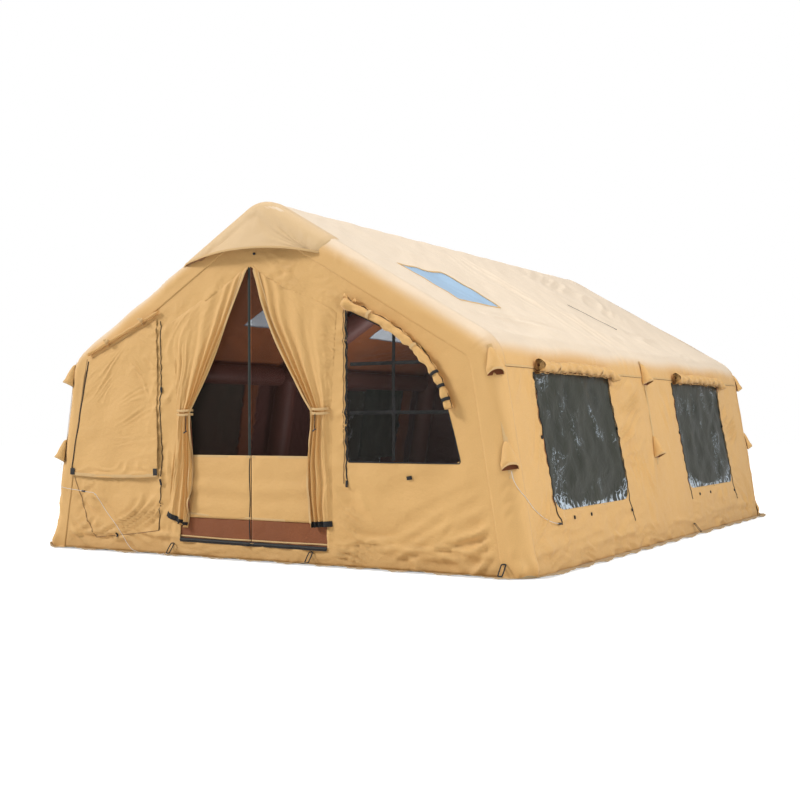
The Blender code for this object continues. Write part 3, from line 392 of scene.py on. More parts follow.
def sewn(thing, flat, area, thickness, body, slot, nodes, held, rests):
    """A finished sheet: its thickness on the inner side and its second finish there; its flat size, area, hold and what
    it rests on are not used.
    """
    change = thing.modifiers.new("cloth thickness", "SOLIDIFY")
    change.thickness, change.offset, change.material_offset = thickness, -1, len(thing.data.materials) - 1
    belongs(thing, body, slot, *nodes)


# %% [markdown]
# Openings are cut the way a tailor does it: the sheet is one grid, the faces inside the opening are
# dropped, and the grid's corners along the cut move on to the drawn line. A Boolean could do it too, but
# it leaves long thin faces that show as creases in smooth cloth.

# %% Cutting a sheet to an outline
def inside_outline(points, outline):
    """Whether a ray from each point crosses the closed outline an odd number of times."""
    x, y = points[:, :1], points[:, 1:]
    a, b = outline, np.roll(outline, -1, axis=0)
    rise = np.where(b[:, 1] == a[:, 1], 1e-12, b[:, 1] - a[:, 1])
    crossed = (a[:, 1] > y) != (b[:, 1] > y)
    return (crossed & (x < a[:, 0] + (y - a[:, 1]) * (b[:, 0] - a[:, 0]) / rise)).sum(axis=1) % 2 == 1


def onto_outline(points, outline):
    """The foot of each point on every side of the outline, and of these the nearest."""
    step = np.roll(outline, -1, axis=0) - outline
    share = np.clip(((points[:, None] - outline) * step).sum(-1) / (step ** 2).sum(-1), 0, 1)
    feet = outline + share[..., None] * step
    nearest = np.linalg.norm(points[:, None] - feet, axis=-1).argmin(axis=1)
    return feet[np.arange(len(points)), nearest]


def cut(flat, faces, outline, keep_inside):
    """Drop the faces on one side of an outline, and move the corners along the cut on to it."""
    outline = np.asarray(outline, float)
    cell = np.abs(flat[faces[0]] - flat[faces[0][0]]).max()
    kept = inside_outline(flat[faces].mean(axis=1), outline) == keep_inside
    edge = np.intersect1d(faces[kept], faces[~kept])
    flat[edge] = onto_outline(flat[edge], outline)
    for corner in outline:
        gaps = np.linalg.norm(flat[edge] - corner, axis=1)
        if gaps.min() < cell * 0.7:
            flat[edge[gaps.argmin()]] = corner
    return faces[kept]


def sheet_piece(name, first, second, place, finishes, towards, keep=None, holes=(), shade=None):
    """A sheet over two lengths, cut to its outline and openings, and then put in place by a function."""
    if keep is not None:
        first, second = (np.concatenate((line[:1] - line[1] + line[0], line, line[-1:] + line[1] - line[0]))
                         for line in (first, second))
    a, b = np.meshgrid(first, second, indexing="ij")
    flat = np.stack((a, b), -1).reshape(-1, 2)
    faces = grid_faces(len(first), len(second))
    if keep is not None:
        faces = cut(flat, faces, keep, True)
    for hole in holes:
        faces = cut(flat, faces, hole, False)
    used, faces = np.unique(faces, return_inverse=True)
    flat, faces = flat[used], faces.reshape(-1, 4)
    thing = surface(name, place(flat[:, 0], flat[:, 1]), faces, finishes, flat, towards)
    if shade is not None:
        values = thing.data.attributes.new("shade", "FLOAT", "POINT")
        values.data.foreach_set("value", np.asarray(shade(flat[:, 0], flat[:, 1]), np.float32))
    corners = flat[faces]
    area = np.abs(np.cross(corners[:, 2] - corners[:, 0], corners[:, 3] - corners[:, 1])).sum() / 2
    size = np.ptp(flat, axis=0)
    return thing, size, min(area, size[0] * size[1])


def steps(start, end, size):
    """Evenly spaced places between two lengths, no further apart than a size."""
    return np.linspace(start, end, int(math.ceil(abs(end - start) / size)) + 1)


# %% [markdown]
# Cloth is never flat. Three kinds of movement cover most of what a pitched tent shows: slow waves where
# the cloth hangs a little loose, folds that fan out from a point where something pulls, and puckers along
# a seam or zip. Each is a plain formula over the sheet, so they can be added up.

# %% Folds and waves
def slow_waves(a, b, size, depth, seed):
    """The sum of fourteen plane waves with drawn directions and starts, and lengths near one size."""
    draw = np.random.default_rng(seed)
    total = np.zeros(np.shape(a))
    for turn, length, start in zip(draw.uniform(0, math.tau, 14), size * draw.uniform(0.6, 1.8, 14),
                                   draw.uniform(0, math.tau, 14)):
        total = total + np.sin((a * math.cos(turn) + b * math.sin(turn)) * math.tau / length + start)
    return depth * total / 2.65


def fan(a, b, centre, aim, spread, reach, count, depth):
    """Folds that spread from a point: a sine of the turn about it, highest at a third of their reach."""
    away = np.hypot(a - centre[0], b - centre[1]) / reach
    turn = (np.arctan2(b - centre[1], a - centre[0]) - aim + math.pi) % math.tau - math.pi
    width = np.clip(1 - (turn / spread) ** 2, 0, 1) ** 1.5
    return depth * width * np.sin(turn / spread * math.pi * count + away) * away * np.exp(1 - 3 * away) * 3


def drawn_folds(a, b, folds, seed):
    """Patches of long folds: a sine across each patch's direction, with a wandering phase, fading off its middle."""
    out = np.zeros(np.broadcast(a, b).shape)
    for index, (middle, spread, turn, pitch, depth) in enumerate(folds):
        across = (b - middle[1]) * math.cos(turn) - (a - middle[0]) * math.sin(turn)
        along = (a - middle[0]) * math.cos(turn) + (b - middle[1]) * math.sin(turn)
        wander = slow_waves(along * 0.4, across, pitch * 3.2, 0.55, seed + 2 * index)
        wave = 1 - 1.6 * np.abs(np.sin((across / pitch + wander) * math.pi)) ** 0.8
        patchy = np.clip(0.75 + slow_waves(along * 0.5, across, pitch * 3, 0.6, seed + 2 * index + 1), 0, 1.3)
        fade = np.exp(-((a - middle[0]) / spread[0]) ** 4 - ((b - middle[1]) / spread[1]) ** 4)
        out = out + 2.7 * depth * wave * patchy * fade
    return out


def foot_fold(along, height, seed):
    """A soft roll of slack cloth just above the ground, which wanders up and down and comes and goes."""
    middle = 0.150 + 0.022 * np.sin(along * 2.3 + seed) + 0.010 * np.sin(along * 7.1)
    share = np.clip(0.62 + 0.5 * np.sin(along * 3.7 + 2 * seed) + 0.25 * np.sin(along * 11), 0, 1.2)
    return share * (0.013 * np.exp(-((height - middle) / 0.024) ** 2)
                    - 0.008 * np.exp(-((height - middle + 0.055) / 0.022) ** 2))


def puckers(along, away, pitch, width, depth):
    """Short folds that cross a seam: a sine along it, dying away from it."""
    return depth * np.sin(along * math.tau / pitch + 1.7 * np.sin(along * 9)) * np.exp(-np.abs(away) / width)


def rise(value, start, end):
    """A smooth step from 0 to 1 between two places."""
    share = np.clip((value - start) / (end - start), 0, 1)
    return share * share * (3 - 2 * share)


# %% [markdown]
# The tent's cross section is one line: up the leaning wall, round the eave, up the roof and over the
# ridge. It is kept as a table of places and outward directions against the length along the line, and
# reading the table gives any point of the shell. The corners are true arcs here.

# %% The shell line
eave_half, eave_high, lean_out, ridge_high = 1.99, 1.60, 0.26, 2.77
eave_radius, ridge_radius = 0.30, 0.25
foot = 0.0044
half_length = 3.0094
sleeve_radius, sleeve_margin = 0.1244, 0.07
arch_places = (-half_length + sleeve_radius, -0.10, half_length - sleeve_radius)
base_half = eave_half + lean_out
lean = math.atan(lean_out / eave_high)
slope = math.atan((ridge_high - eave_high) / eave_half)


def half_line():
    """Places and outward directions from the right foot to the top of the ridge."""
    wall_out = np.array((math.cos(lean), math.sin(lean)))
    roof_out = np.array((math.sin(slope), math.cos(slope)))
    eave_centre = np.array((eave_half, eave_high)) - eave_radius * (wall_out + roof_out) / (1 + wall_out @ roof_out)
    ridge_centre = np.array((0, ridge_high - ridge_radius / math.cos(slope)))
    turn_eave = np.linspace(lean, math.pi / 2 - slope, 25)
    turn_ridge = np.linspace(math.pi / 2 - slope, math.pi / 2, 17)
    out_eave = np.column_stack((np.cos(turn_eave), np.sin(turn_eave)))
    out_ridge = np.column_stack((np.cos(turn_ridge), np.sin(turn_ridge)))
    start = np.array((base_half - foot * math.tan(lean), foot))
    places = np.vstack((start, eave_centre + eave_radius * out_eave, ridge_centre + ridge_radius * out_ridge))
    outwards = np.vstack((wall_out, out_eave, out_ridge))
    return places, outwards


right_places, right_outwards = half_line()
shell_places = np.vstack((right_places, right_places[-2::-1] * (-1, 1)))
shell_outwards = np.vstack((right_outwards, right_outwards[-2::-1] * (-1, 1)))
shell_run = path_length(shell_places)
shell_length = shell_run[-1]
eave_start, eave_end = shell_run[1], shell_run[25]
ridge_start, ridge_top = shell_run[26], shell_length / 2
eave_bends = ((eave_start + eave_end) / 2, shell_length - (eave_start + eave_end) / 2)
seam_run = eave_start - 0.03 / math.cos(lean)


def on_shell(run, out=0.0):
    """x and z of the shell at a length along it, moved outwards."""
    read = [np.interp(run, shell_run, column) for column in (*shell_places.T, *shell_outwards.T)]
    size = np.hypot(read[2], read[3])
    return read[0] + out * read[2] / size, read[1] + out * read[3] / size


def wall_run(z):
    """Length along the shell at a height on the straight wall."""
    return (z - foot) / math.cos(lean)


def roof_run(x):
    """Length along the shell at a distance from the middle, on the straight roof."""
    return ridge_start - (x - shell_places[26][0]) / math.cos(slope)


print("shell line", round(shell_length, 3), "m, seam at", round(seam_run, 3))

# %% [markdown]
# Between the air arches the cloth spans freely and sinks a little, and over a tube it lies tight. Both
# the walls and the roof read the same function, and so do the windows, zips and straps on them, so that
# every piece follows the same cloth.

# %% How the cloth spans between the arches
window_low, window_high, window_half, window_slant = 0.41, 1.395, 0.73, 0.05


def between_arches(y):
    """0 over an arch, 1 in the middle of a bay: a sine between the edges of two tubes."""
    share = np.zeros(np.shape(y))
    for near, far in zip(arch_places[:-1], arch_places[1:]):
        place = np.clip((y - near - 0.14) / (far - near - 0.28), 0, 1)
        share = share + np.sin(math.pi * place) ** 1.3
    return share


# Each patch of folds: its middle, its spread, its direction, the folds' distance and their height.
side_folds = (
    ((-2.60, 1.15), (0.17, 0.42), 1.15, 0.105, 0.0060), ((-0.62, 1.12), (0.28, 0.42), 0.35, 0.095, 0.0095),
    ((0.42, 1.15), (0.20, 0.40), -1.0, 0.110, 0.0050), ((2.42, 1.10), (0.20, 0.45), 0.5, 0.100, 0.0080),
    ((-0.50, 0.50), (0.35, 0.30), 1.9, 0.130, 0.0045), ((-1.70, 0.24), (0.85, 0.15), 0.12, 0.095, 0.0040),
    ((1.40, 0.24), (0.85, 0.15), -0.12, 0.095, 0.0040), ((-2.55, 0.28), (0.28, 0.30), 0.8, 0.110, 0.0060),
    ((2.50, 0.28), (0.28, 0.30), -0.8, 0.110, 0.0060), ((0.0, 0.07), (3.2, 0.10), 0.0, 0.085, 0.0065))
roof_folds = (
    ((0.9, 1.95), (0.9, 0.30), 0.25, 0.26, 0.0040), ((-1.6, 2.0), (0.8, 0.30), -0.20, 0.24, 0.0035),
    ((-0.2, 2.6), (0.5, 0.9), 1.2, 0.22, 0.0030), ((1.9, 3.2), (0.8, 0.5), 0.5, 0.26, 0.0035),
    ((0.0, 1.52), (3.0, 0.12), 1.35, 0.14, 0.0022))


def shell_relief(run, y, side):
    """How far the cloth stands out from the shell: its sag in the bays, slow waves and folds."""
    bay = between_arches(y)
    on_wall = np.sin(math.pi * np.clip(run / eave_start, 0, 1)) * bay
    on_roof = np.sin(math.pi * np.clip((run - eave_end) / (ridge_start - eave_end), 0, 1)) * bay
    seed = 5 if side > 0 else 211
    out = -0.010 * on_wall - 0.014 * on_roof
    out = out + slow_waves(y, run, 0.75, 0.0050, seed) * np.clip(on_wall + on_roof + 0.25, 0, 1)
    out = out + slow_waves(y, run, 0.26, 0.0016, seed + 1) * rise(np.abs(run - seam_run), 0.02, 0.12)
    out = out + drawn_folds(y, run, side_folds, seed + 10) * (1 - rise(run, seam_run - 0.10, seam_run))
    out = out + drawn_folds(y, run, roof_folds, seed + 40) * rise(run, seam_run, seam_run + 0.10)
    out = out + foot_fold(y, run, 2.0 + side)
    for centre in (-1.66, 1.43):
        for end in (-1, 1):
            edge = y - centre - end * 0.75 + window_slant * (run - 0.4)
            on_side = rise(run, 0.30, 0.45) * (1 - rise(run, 1.32, 1.43))
            out = out + puckers(run, edge, 0.10, 0.045, 0.0035) * on_side
    out = out + puckers(y + 0.3, run - seam_run, 0.12, 0.05, 0.0020)
    out = out + puckers(run, y - arch_places[0] - 0.02, 0.13, 0.05, 0.0022)
    out = out + puckers(run, y - arch_places[2] + 0.02, 0.13, 0.05, 0.0022)
    return out * rise(arch_places[2] - np.abs(y), 0.0, 0.06)


def shell_point(side, run, y, out=0.0):
    """A point of the cloth on the right or the left half of the tent, raised by a distance."""
    x, z = on_shell(run, out + shell_relief(run, y, side))
    return np.stack((side * x, y + 0 * x, z), -1)


print("largest sink", round(float(shell_relief(np.full(50, 0.8), np.linspace(-2.8, 2.8, 50), 1).min()), 4))

# %% [markdown]
# Three air arches, a ridge tube and two eave tubes hold the tent up. A tube bladder is a smooth tube
# that pinches where it is bent, because its inner side is too long there. A circle carried along the
# shell line gives it, with the radius drawn in at the bends.

# %% Air tubes
def ring_tube(name, node, centres, across, up, radius, lowest=0.0):
    """A bladder: at each centre a circle in two directions, closed at both ends and cut off by the ground."""
    turns = np.linspace(0, math.tau, 24, endpoint=False)
    radius = np.broadcast_to(radius, (len(centres), 24))
    across, up = (np.broadcast_to(way, centres.shape)[:, None] for way in (across, up))
    points = centres[:, None] + (radius * np.cos(turns))[..., None] * across + (radius * np.sin(turns))[..., None] * up
    points[..., 2] = np.maximum(points[..., 2], lowest)
    flat = np.stack(np.broadcast_arrays(path_length(centres)[:, None], radius * turns), -1)
    thing = surface(name, points, grid_faces(len(centres), 24, True), bladder, flat, None, caps(len(centres), 24))
    belongs(thing, "frame", "bladder_film", node)


def arch_tube(name, y, node):
    """An arch under the shell, 0.12 m in radius, drawn in by fine pleats at its three bends."""
    run = steps(0, shell_length, 0.022)
    x, z = on_shell(run, -sleeve_radius)
    outer_x, outer_z = on_shell(run, 0)
    up = np.stack((outer_x - x, 0 * x, outer_z - z), -1) / sleeve_radius
    bends = sum(np.exp(-((run - place) / 0.14) ** 2) for place in (eave_bends[0], ridge_top, eave_bends[1]))
    inner = np.clip(-np.sin(np.linspace(0, math.tau, 24, endpoint=False)), 0, 1)
    radius = 0.114 - 0.006 * bends[:, None] * inner * (1 + np.sin(run * math.tau / 0.045))[:, None]
    ring_tube(name, node, np.stack((x, np.full(len(x), y), z), -1), (0, 1, 0), up, radius, 0.006)


def beam_tube(name, node):
    """A straight tube in its solid's place, 0.10 m in radius, rounded off at its ends."""
    low, high, middle = box_of(node)
    y = np.concatenate((low[1] + 0.05 * (1 - np.cos(np.linspace(0, math.pi / 2, 7))),
                        steps(low[1] + 0.08, high[1] - 0.08, 0.08),
                        high[1] - 0.05 * (1 - np.cos(np.linspace(math.pi / 2, 0, 7)))))
    edge = np.minimum(y - low[1], high[1] - y)
    radius = 0.098 * np.sqrt(np.clip(1 - (1 - np.clip(edge / 0.05, 0, 1)) ** 2, 0.04, 1))
    centres = np.stack((np.full(len(y), middle[0]), y, np.full(len(y), middle[2])), -1)
    ring_tube(name, node, centres, (1, 0, 0), (0, 0, 1), radius[:, None])


for place, y in zip(("front", "middle", "rear"), arch_places):
    arch_tube("air_arch_" + place, y, place + "_arch_beam")
for place in ("ridge_beam_front", "ridge_beam_rear", "eave_beam_right_front", "eave_beam_right_rear",
              "eave_beam_left_front", "eave_beam_left_rear"):
    beam_tube("air_" + place.replace("beam", "tube"), place)
print("nine air tubes")

# %% [markdown]
# Each end arch is wrapped in a smooth sleeve: a flat margin sewn to the end wall, a quarter turn round
# the tube, and a narrow lap on the roof. The section is one line, and it is carried along the shell.

# %% Arch sleeves
def sleeve_section(across):
    """Depth under the shell, reach along the tent and outward direction, for a length across the sleeve."""
    turn = np.clip((across - sleeve_margin) / sleeve_radius, 0, math.pi / 2)
    lap = np.clip(across - sleeve_margin - sleeve_radius * math.pi / 2, 0, None)
    margin = np.clip(sleeve_margin - across, 0, None)
    depth = margin + sleeve_radius * (1 - np.sin(turn))
    reach = half_length - sleeve_radius + sleeve_radius * np.cos(turn) - lap
    return depth, reach, np.sin(turn), np.cos(turn)


def sleeve_relief(run, across, seed):
    """Cross pleats at the bends, slow waves, drawn folds, and cloth bunched at the feet; the margin stays flat."""
    bends = sum(np.exp(-((run - place) / 0.16) ** 2) for place in eave_bends)
    edge = rise(across, 0.05, 0.11)
    out = 0.0028 * bends * np.sin(run * math.tau / 0.062 + 9 * across) * edge
    out = out + (slow_waves(run, across * 2, 0.45, 0.0040, seed) + 0.0022) * edge
    out = out * (1 - 0.9 * rise(across, 0.215, 0.255))
    foot_run = np.minimum(run, shell_length - run)
    out = np.minimum(out, 0.002 + 0.05 * across)
    out = out + rise(across, 0.06, 0.14) * np.exp(-((foot_run - 0.075) / 0.055) ** 2) * (
        0.016 + 0.009 * np.sin(across * 55 + 9 * foot_run))
    patches = (((0.3, 0.15), (0.5, 0.3), 0.9, 0.12, 0.0025),
               ((shell_length - 0.3, 0.15), (0.5, 0.3), -0.9, 0.12, 0.0025),
               ((roof_run(0.80), 0.10), (0.26, 0.12), 1.1, 0.070, 0.0022),
               ((shell_length - roof_run(0.90), 0.10), (0.30, 0.12), -1.1, 0.070, 0.0018))
    return np.maximum(out, -0.002) + drawn_folds(run, across, patches, seed) * edge * (1 - rise(across, 0.20, 0.25))


full = sleeve_margin + sleeve_radius * math.pi / 2 + 0.016
for label, end, seed in (("front", -1, 21), ("rear", 1, 31)):
    def place(run, across):
        depth, reach, out_share, end_share = sleeve_section(across)
        relief = sleeve_relief(run, across, seed) + 0.0020 * rise(across, full - 0.02, full - 0.014)
        x, z = on_shell(run, relief * out_share - depth)
        return np.stack((x, end * (reach + relief * end_share), np.maximum(z, foot)), -1)

    # The sleeve's painted light and shade: low where its rounded part lies on the roof and takes the painted top light,
    # high on its margin and legs, which keep the tan of painted shade.
    def shade(run, across):
        on_roof = rise(run, eave_start, eave_end) * (1 - rise(run, shell_length - eave_end, shell_length - eave_start))
        return 1 - 0.85 * on_roof * rise(across, 0.09, 0.20)

    sleeve, size, area = sheet_piece("sleeve_" + label, steps(0, shell_length, 0.02), steps(0, full, 0.016), place,
                                     [top_lit_cloth, wall_lining], (0, end, 0.2), shade=shade)
    sewn(sleeve, size, None, cloth_thick, "frame", "wall_cloth", [label + "_arch_sleeve"], "stretched",
         "air_arch_" + label)
print("two sleeves")

# %% [markdown]
# A side wall is one piece of cloth from the ground to the seam under the eave, with two windows that
# lean slightly to the front. The roof is one piece on each side, from that seam to the ridge. Both are
# grids over the length along the tent and the length along the shell.

# %% Outlines of the windows and skylights
def rounded(corners, radii, count=6):
    """A closed outline with rounded corners: at each corner a quadratic curve between its two tangent points."""
    corners = np.asarray(corners, float)
    before, after = np.roll(corners, 1, axis=0), np.roll(corners, -1, axis=0)
    outline = []
    for here, last, following, radius in zip(corners, before, after, radii):
        if radius == 0:
            outline.append(here)
            continue
        a = here + (last - here) / np.linalg.norm(last - here) * radius
        b = here + (following - here) / np.linalg.norm(following - here) * radius
        t = np.linspace(0, 1, count)[:, None]
        outline += list(a * (1 - t) ** 2 + 2 * here * t * (1 - t) + b * t ** 2)
    return np.array(outline)


def side_window(centre, grow=0.0):
    """A side window's outline over y and the run along the shell, grown by a margin."""
    low, high = wall_run(window_low - grow), wall_run(window_high + grow)
    half = window_half + grow
    return rounded(((centre - half - window_slant, high), (centre - half, low), (centre + half, low),
                    (centre + half - window_slant, high)), (0, 0.13, 0.13, 0))


def skylight(centre, grow=0.0):
    """A skylight's outline over y and the run along the shell."""
    near, far = roof_run(1.37 + grow), roof_run(0.85 - grow)
    half = 0.35 + grow
    return rounded(((centre - half, near), (centre + half, near), (centre + half, far), (centre - half, far)),
                   (0.03,) * 4, 4)


windows = (("front", -1.66), ("rear", 1.43))
skylights = ((1, "right_front", -1.98), (-1, "left_front", -1.10), (-1, "left_rear", 1.08))
print("side window outline has", len(side_window(-1.66)), "points")

# %% Side walls and roof
reach_y = half_length - sleeve_radius


def eave_shade(y, run):
    """1 on the tan band of painted shade round the eave, 0 on the slope, which is pale with painted top light."""
    return 1 - rise(run + 0.012 * np.sin(y * 5), eave_start + 0.02, eave_start + 0.17)


for side, label in sides:
    sewn(*sheet_piece(
        "wall_cloth_" + label, steps(-reach_y, reach_y, 0.0185), steps(0, seam_run + 0.02, 0.0185),
        lambda y, run: shell_point(side, run, y, -0.0015 * rise(run, seam_run - 0.03, seam_run)),
        [tan_cloth, wall_lining], (side, 0, 0.2), holes=[side_window(centre) for place, centre in windows]),
        cloth_thick, "frame", "wall_cloth", ["wall_" + label], "stretched", "air_arch_middle")
    sewn(*sheet_piece(
        "roof_cloth_" + label, steps(-reach_y, reach_y, 0.024), steps(seam_run - 0.012, ridge_top, 0.024),
        lambda y, run: shell_point(side, run, y, 0.0015 * (1 - rise(run, seam_run + 0.01, seam_run + 0.03))),
        [top_lit_cloth, roof_lining], (side, 0, 1.5),
        holes=[skylight(centre) for own, name, centre in skylights if own == side], shade=eave_shade),
        cloth_thick, "frame", "roof_cloth", ["roof_panel_" + label], "stretched", "air_arch_middle")
print("walls and roof")

# %% [markdown]
# The films are welded behind their openings. They lie a touch deeper than the cloth and ripple slowly.

# %% Window films and skylights
def film_sheet(name, outline, place, towards, finish, slot, node, rests, shade=None):
    """A film cut to an outline a little larger than its opening."""
    low, high = outline.min(axis=0), outline.max(axis=0)
    sewn(*sheet_piece(name, steps(low[0], high[0], 0.02), steps(low[1], high[1], 0.02), place, finish, towards,
                      keep=outline, shade=shade), film_thick, "frame", slot, [node], "stretched", rests)


def shell_film(name, side, outline, finish, slot, node, seed, ripple):
    """A film behind an opening of the shell: it sinks and ripples away from the opening's edge."""
    def place(y, run):
        edge = np.linalg.norm(onto_outline(np.stack((y, run), -1), outline) - np.stack((y, run), -1), axis=1)
        waves = slow_waves(y * 1.6, run + y * 0.35, 0.42, ripple, seed) + slow_waves(y, run, 0.16, ripple / 6, seed + 1)
        return shell_point(side, run, y, -0.0024 + (waves - ripple) * rise(edge, 0.0, 0.12))

    # Where glints of painted reflection go: high along the film's foot, reaching higher towards its corners.
    def shade(y, run):
        corner = np.clip(np.abs(y - outline[:, 0].mean()) / window_half, 0, 1)
        return (1 - rise(run - outline[:, 1].min(), 0.01, 0.05 + 0.24 * corner ** 3)) ** 1.5

    film_sheet(name, outline, place, (side, 0, 0.3), finish, slot, node, "wall_cloth_right", shade)


for side, label in sides:
    for place, centre in windows:
        shell_film("film_" + label + "_" + place, side, side_window(centre, 0.012), dark_film, "window_film",
                   "window_" + label + "_" + place, 41 if place == "front" else 47, 0.005)
for side, name, centre in skylights:
    shell_film("sky_film_" + name, side, skylight(centre, 0.012), blue_film if side > 0 else pale_film, "sky_film",
               "skylight_" + name, 53, 0.003)
print("films")

# %% [markdown]
# The front wall is flat cloth inside the sleeve's margin. It carries the doorway, the right window and
# the left window. Its outline is the shell line moved inwards, closed along the ground.

# %% Front wall outlines
door_middle, door_half, door_sill, door_shoulder, door_apex = -0.06, 0.70, 0.13, 1.84, 2.23
front_y = -half_length


def door_shape():
    """The doorway in x and z: upright sides and a gabled top."""
    left, right = door_middle - door_half, door_middle + door_half
    return np.array(((left, door_sill), (right, door_sill), (right, door_shoulder), (door_middle, door_apex),
                     (left, door_shoulder)))


def front_window(side, inner, outer, top, grow=0.0):
    """A front window in x and z, cut back at its outer top corner."""
    low = 0.76
    width, height = outer - inner, top - low
    shares = np.array(((0, 0), (1, 0), (0.88, 0.385), (0.70, 0.735), (0, 1)))
    corners = shares * (width, height) + (inner, low)
    middle = corners.mean(axis=0)
    away = corners - middle
    corners = corners + grow * away / np.linalg.norm(away, axis=1)[:, None] * 1.3
    return rounded(corners, (0.012, 0.012, 0.12, 0.12, 0.012), 5) * (side, 1)


right_window = (1, 0.82, 1.735, 1.847)
left_window = (-1, 1.07, 1.79, 1.70)
end_run = steps(0, shell_length, 0.05)
end_x, end_z = on_shell(end_run, -(sleeve_radius + sleeve_margin - 0.03))
end_outline = np.column_stack((end_x, np.maximum(end_z, foot)))


front_folds = (
    ((-0.88, 1.50), (0.20, 0.65), 1.20, 0.095, 0.0065), ((-0.60, 2.02), (0.42, 0.22), 0.72, 0.095, 0.0065),
    ((0.46, 2.10), (0.48, 0.26), -0.50, 0.085, 0.0115), ((0.71, 1.30), (0.11, 0.60), 0.45, 0.090, 0.0065),
    ((0.76, 0.42), (0.22, 0.28), -0.60, 0.095, 0.0065), ((-1.42, 0.36), (0.50, 0.22), 0.65, 0.095, 0.0085),
    ((-0.85, 0.60), (0.14, 0.45), 1.30, 0.090, 0.0070), ((1.60, 0.40), (0.45, 0.30), 0.50, 0.200, 0.0050),
    ((0.0, 0.09), (2.3, 0.11), 0.0, 0.085, 0.0070), ((1.20, 0.17), (1.0, 0.10), 0.05, 0.100, 0.0050),
    ((1.85, 0.20), (0.28, 0.22), 0.60, 0.105, 0.0085), ((-1.85, 0.20), (0.28, 0.22), -0.60, 0.105, 0.0080))


def under_sleeve(x, z):
    """0 under the sleeve's margin, 1 on the free end wall."""
    side_depth = (base_half - lean_out / eave_high * z - np.abs(x)) * math.cos(lean)
    roof_depth = (ridge_high - math.tan(slope) * np.abs(x) - z) * math.cos(slope)
    return rise(np.minimum(side_depth, roof_depth), 0.205, 0.34)


def front_relief(x, z):
    """How far the front wall stands out: waves, drawn folds and puckers, and nothing under the sleeve's margin."""
    out = slow_waves(x, z, 0.55, 0.0045, 61) + slow_waves(x, z, 0.24, 0.0016, 62)
    out = out + drawn_folds(x, z, front_folds, 300)
    out = out + foot_fold(x, z, 1.0) * rise(np.abs(x - door_middle), 0.72, 0.95)
    out = out + puckers(z, x + 0.985, 0.080, 0.06, 0.0050) + puckers(z, x - 0.815, 0.090, 0.05, 0.0045)
    by_door = 1 - rise(np.abs(x - door_middle), 0.74, 0.86)
    out = out * (1 - by_door) + np.abs(out) * by_door * 0.7
    return out * under_sleeve(x, z)


def front_point(x, z, out=0.0):
    """A point of the front wall's cloth, raised by a distance."""
    return np.stack((x + 0 * z, front_y - out - front_relief(x, z), z + 0 * x), -1)


sewn(*sheet_piece(
    "front_wall_cloth", steps(-2.16, 2.16, 0.019), steps(foot, 2.64, 0.019),
    lambda x, z: front_point(x, z, -0.0030), [tan_cloth, wall_lining], (0, -1, 0), keep=end_outline,
    holes=[door_shape(), front_window(*right_window), front_window(*left_window)]),
    cloth_thick, "frame", "wall_cloth", ["wall_front"], "stretched", "sleeve_front")
for label, shape, finish in (("right", right_window, clear_film), ("left", left_window, dark_film)):
    film_sheet("front_film_" + label, front_window(*shape, grow=0.012),
               lambda x, z: front_point(x, z, -0.0052 + slow_waves(x, z, 0.35, 0.0016, 71)), (0, -1, 0), finish,
               "window_film", "window_front_" + label, "front_wall_cloth")
print("front wall and its films")

# %% [markdown]
# The rear wall is plain cloth. A second door is sewn into it and stays zipped shut.

# %% Rear wall
rear_folds = (
    ((-1.25, 1.30), (0.35, 0.50), 1.0, 0.12, 0.0055), ((1.30, 1.20), (0.35, 0.55), -1.0, 0.12, 0.0055),
    ((0.0, 1.95), (0.60, 0.30), 0.2, 0.11, 0.0050), ((-0.30, 0.60), (0.35, 0.40), 0.7, 0.12, 0.0050),
    ((1.75, 0.25), (0.35, 0.28), 0.7, 0.11, 0.0080), ((-1.75, 0.25), (0.35, 0.28), -0.7, 0.11, 0.0080),
    ((0.0, 0.09), (2.3, 0.11), 0.0, 0.085, 0.0070))


def rear_relief(x, z):
    """How far the rear wall stands out."""
    out = slow_waves(x, z, 0.60, 0.0055, 81) + slow_waves(x, z, 0.24, 0.0020, 82)
    out = out + drawn_folds(x, z, rear_folds, 340) + puckers(z, np.abs(x) - 0.72, 0.10, 0.05, 0.0040) * (z < 1.75)
    return out * under_sleeve(x, z)


def rear_point(x, z, out=0.0):
    """A point of the rear wall's cloth, raised by a distance."""
    return np.stack((x + 0 * z, half_length + out + rear_relief(x, z), z + 0 * x), -1)


sewn(*sheet_piece("rear_wall_cloth", steps(-2.16, 2.16, 0.024), steps(foot, 2.64, 0.024),
                  lambda x, z: rear_point(x, z, -0.0030), [tan_cloth, wall_lining], (0, 1, 0), keep=end_outline),
     cloth_thick, "frame", "wall_cloth", ["wall_rear"], "stretched", "sleeve_rear")
print("rear wall")

# %% [markdown]
# Zips, seams, straps and stitch lines are ribbons. A ribbon is a small closed profile carried along a
# path, with one direction out from the cloth and one across. A zip is a flat tape with a raised coil.

# %% Ribbons
def even(path, size):
    """The same path with evenly spaced points."""
    run = path_length(path)
    places = steps(0, run[-1], size)
    return np.stack([np.interp(places, run, path[:, axis]) for axis in range(path.shape[1])], -1)


tape_profile = np.array(((-0.5, 0), (-0.5, 0.6), (-0.42, 1), (0.42, 1), (0.5, 0.6), (0.5, 0)))
zip_profile = np.array(((-0.5, 0), (-0.5, 0.35), (-0.24, 0.42), (-0.17, 0.9), (0, 1.05), (0.17, 0.9), (0.24, 0.42),
                        (0.5, 0.35), (0.5, 0)))


front_out = np.array((0, -1.0, 0))
trim_slots = {"black webbing": "black_webbing", "black zip coil": "black_webbing", "white cord": "white_cord",
              "dark green zip tape": "black_webbing", "black plastic": "black_plastic"}


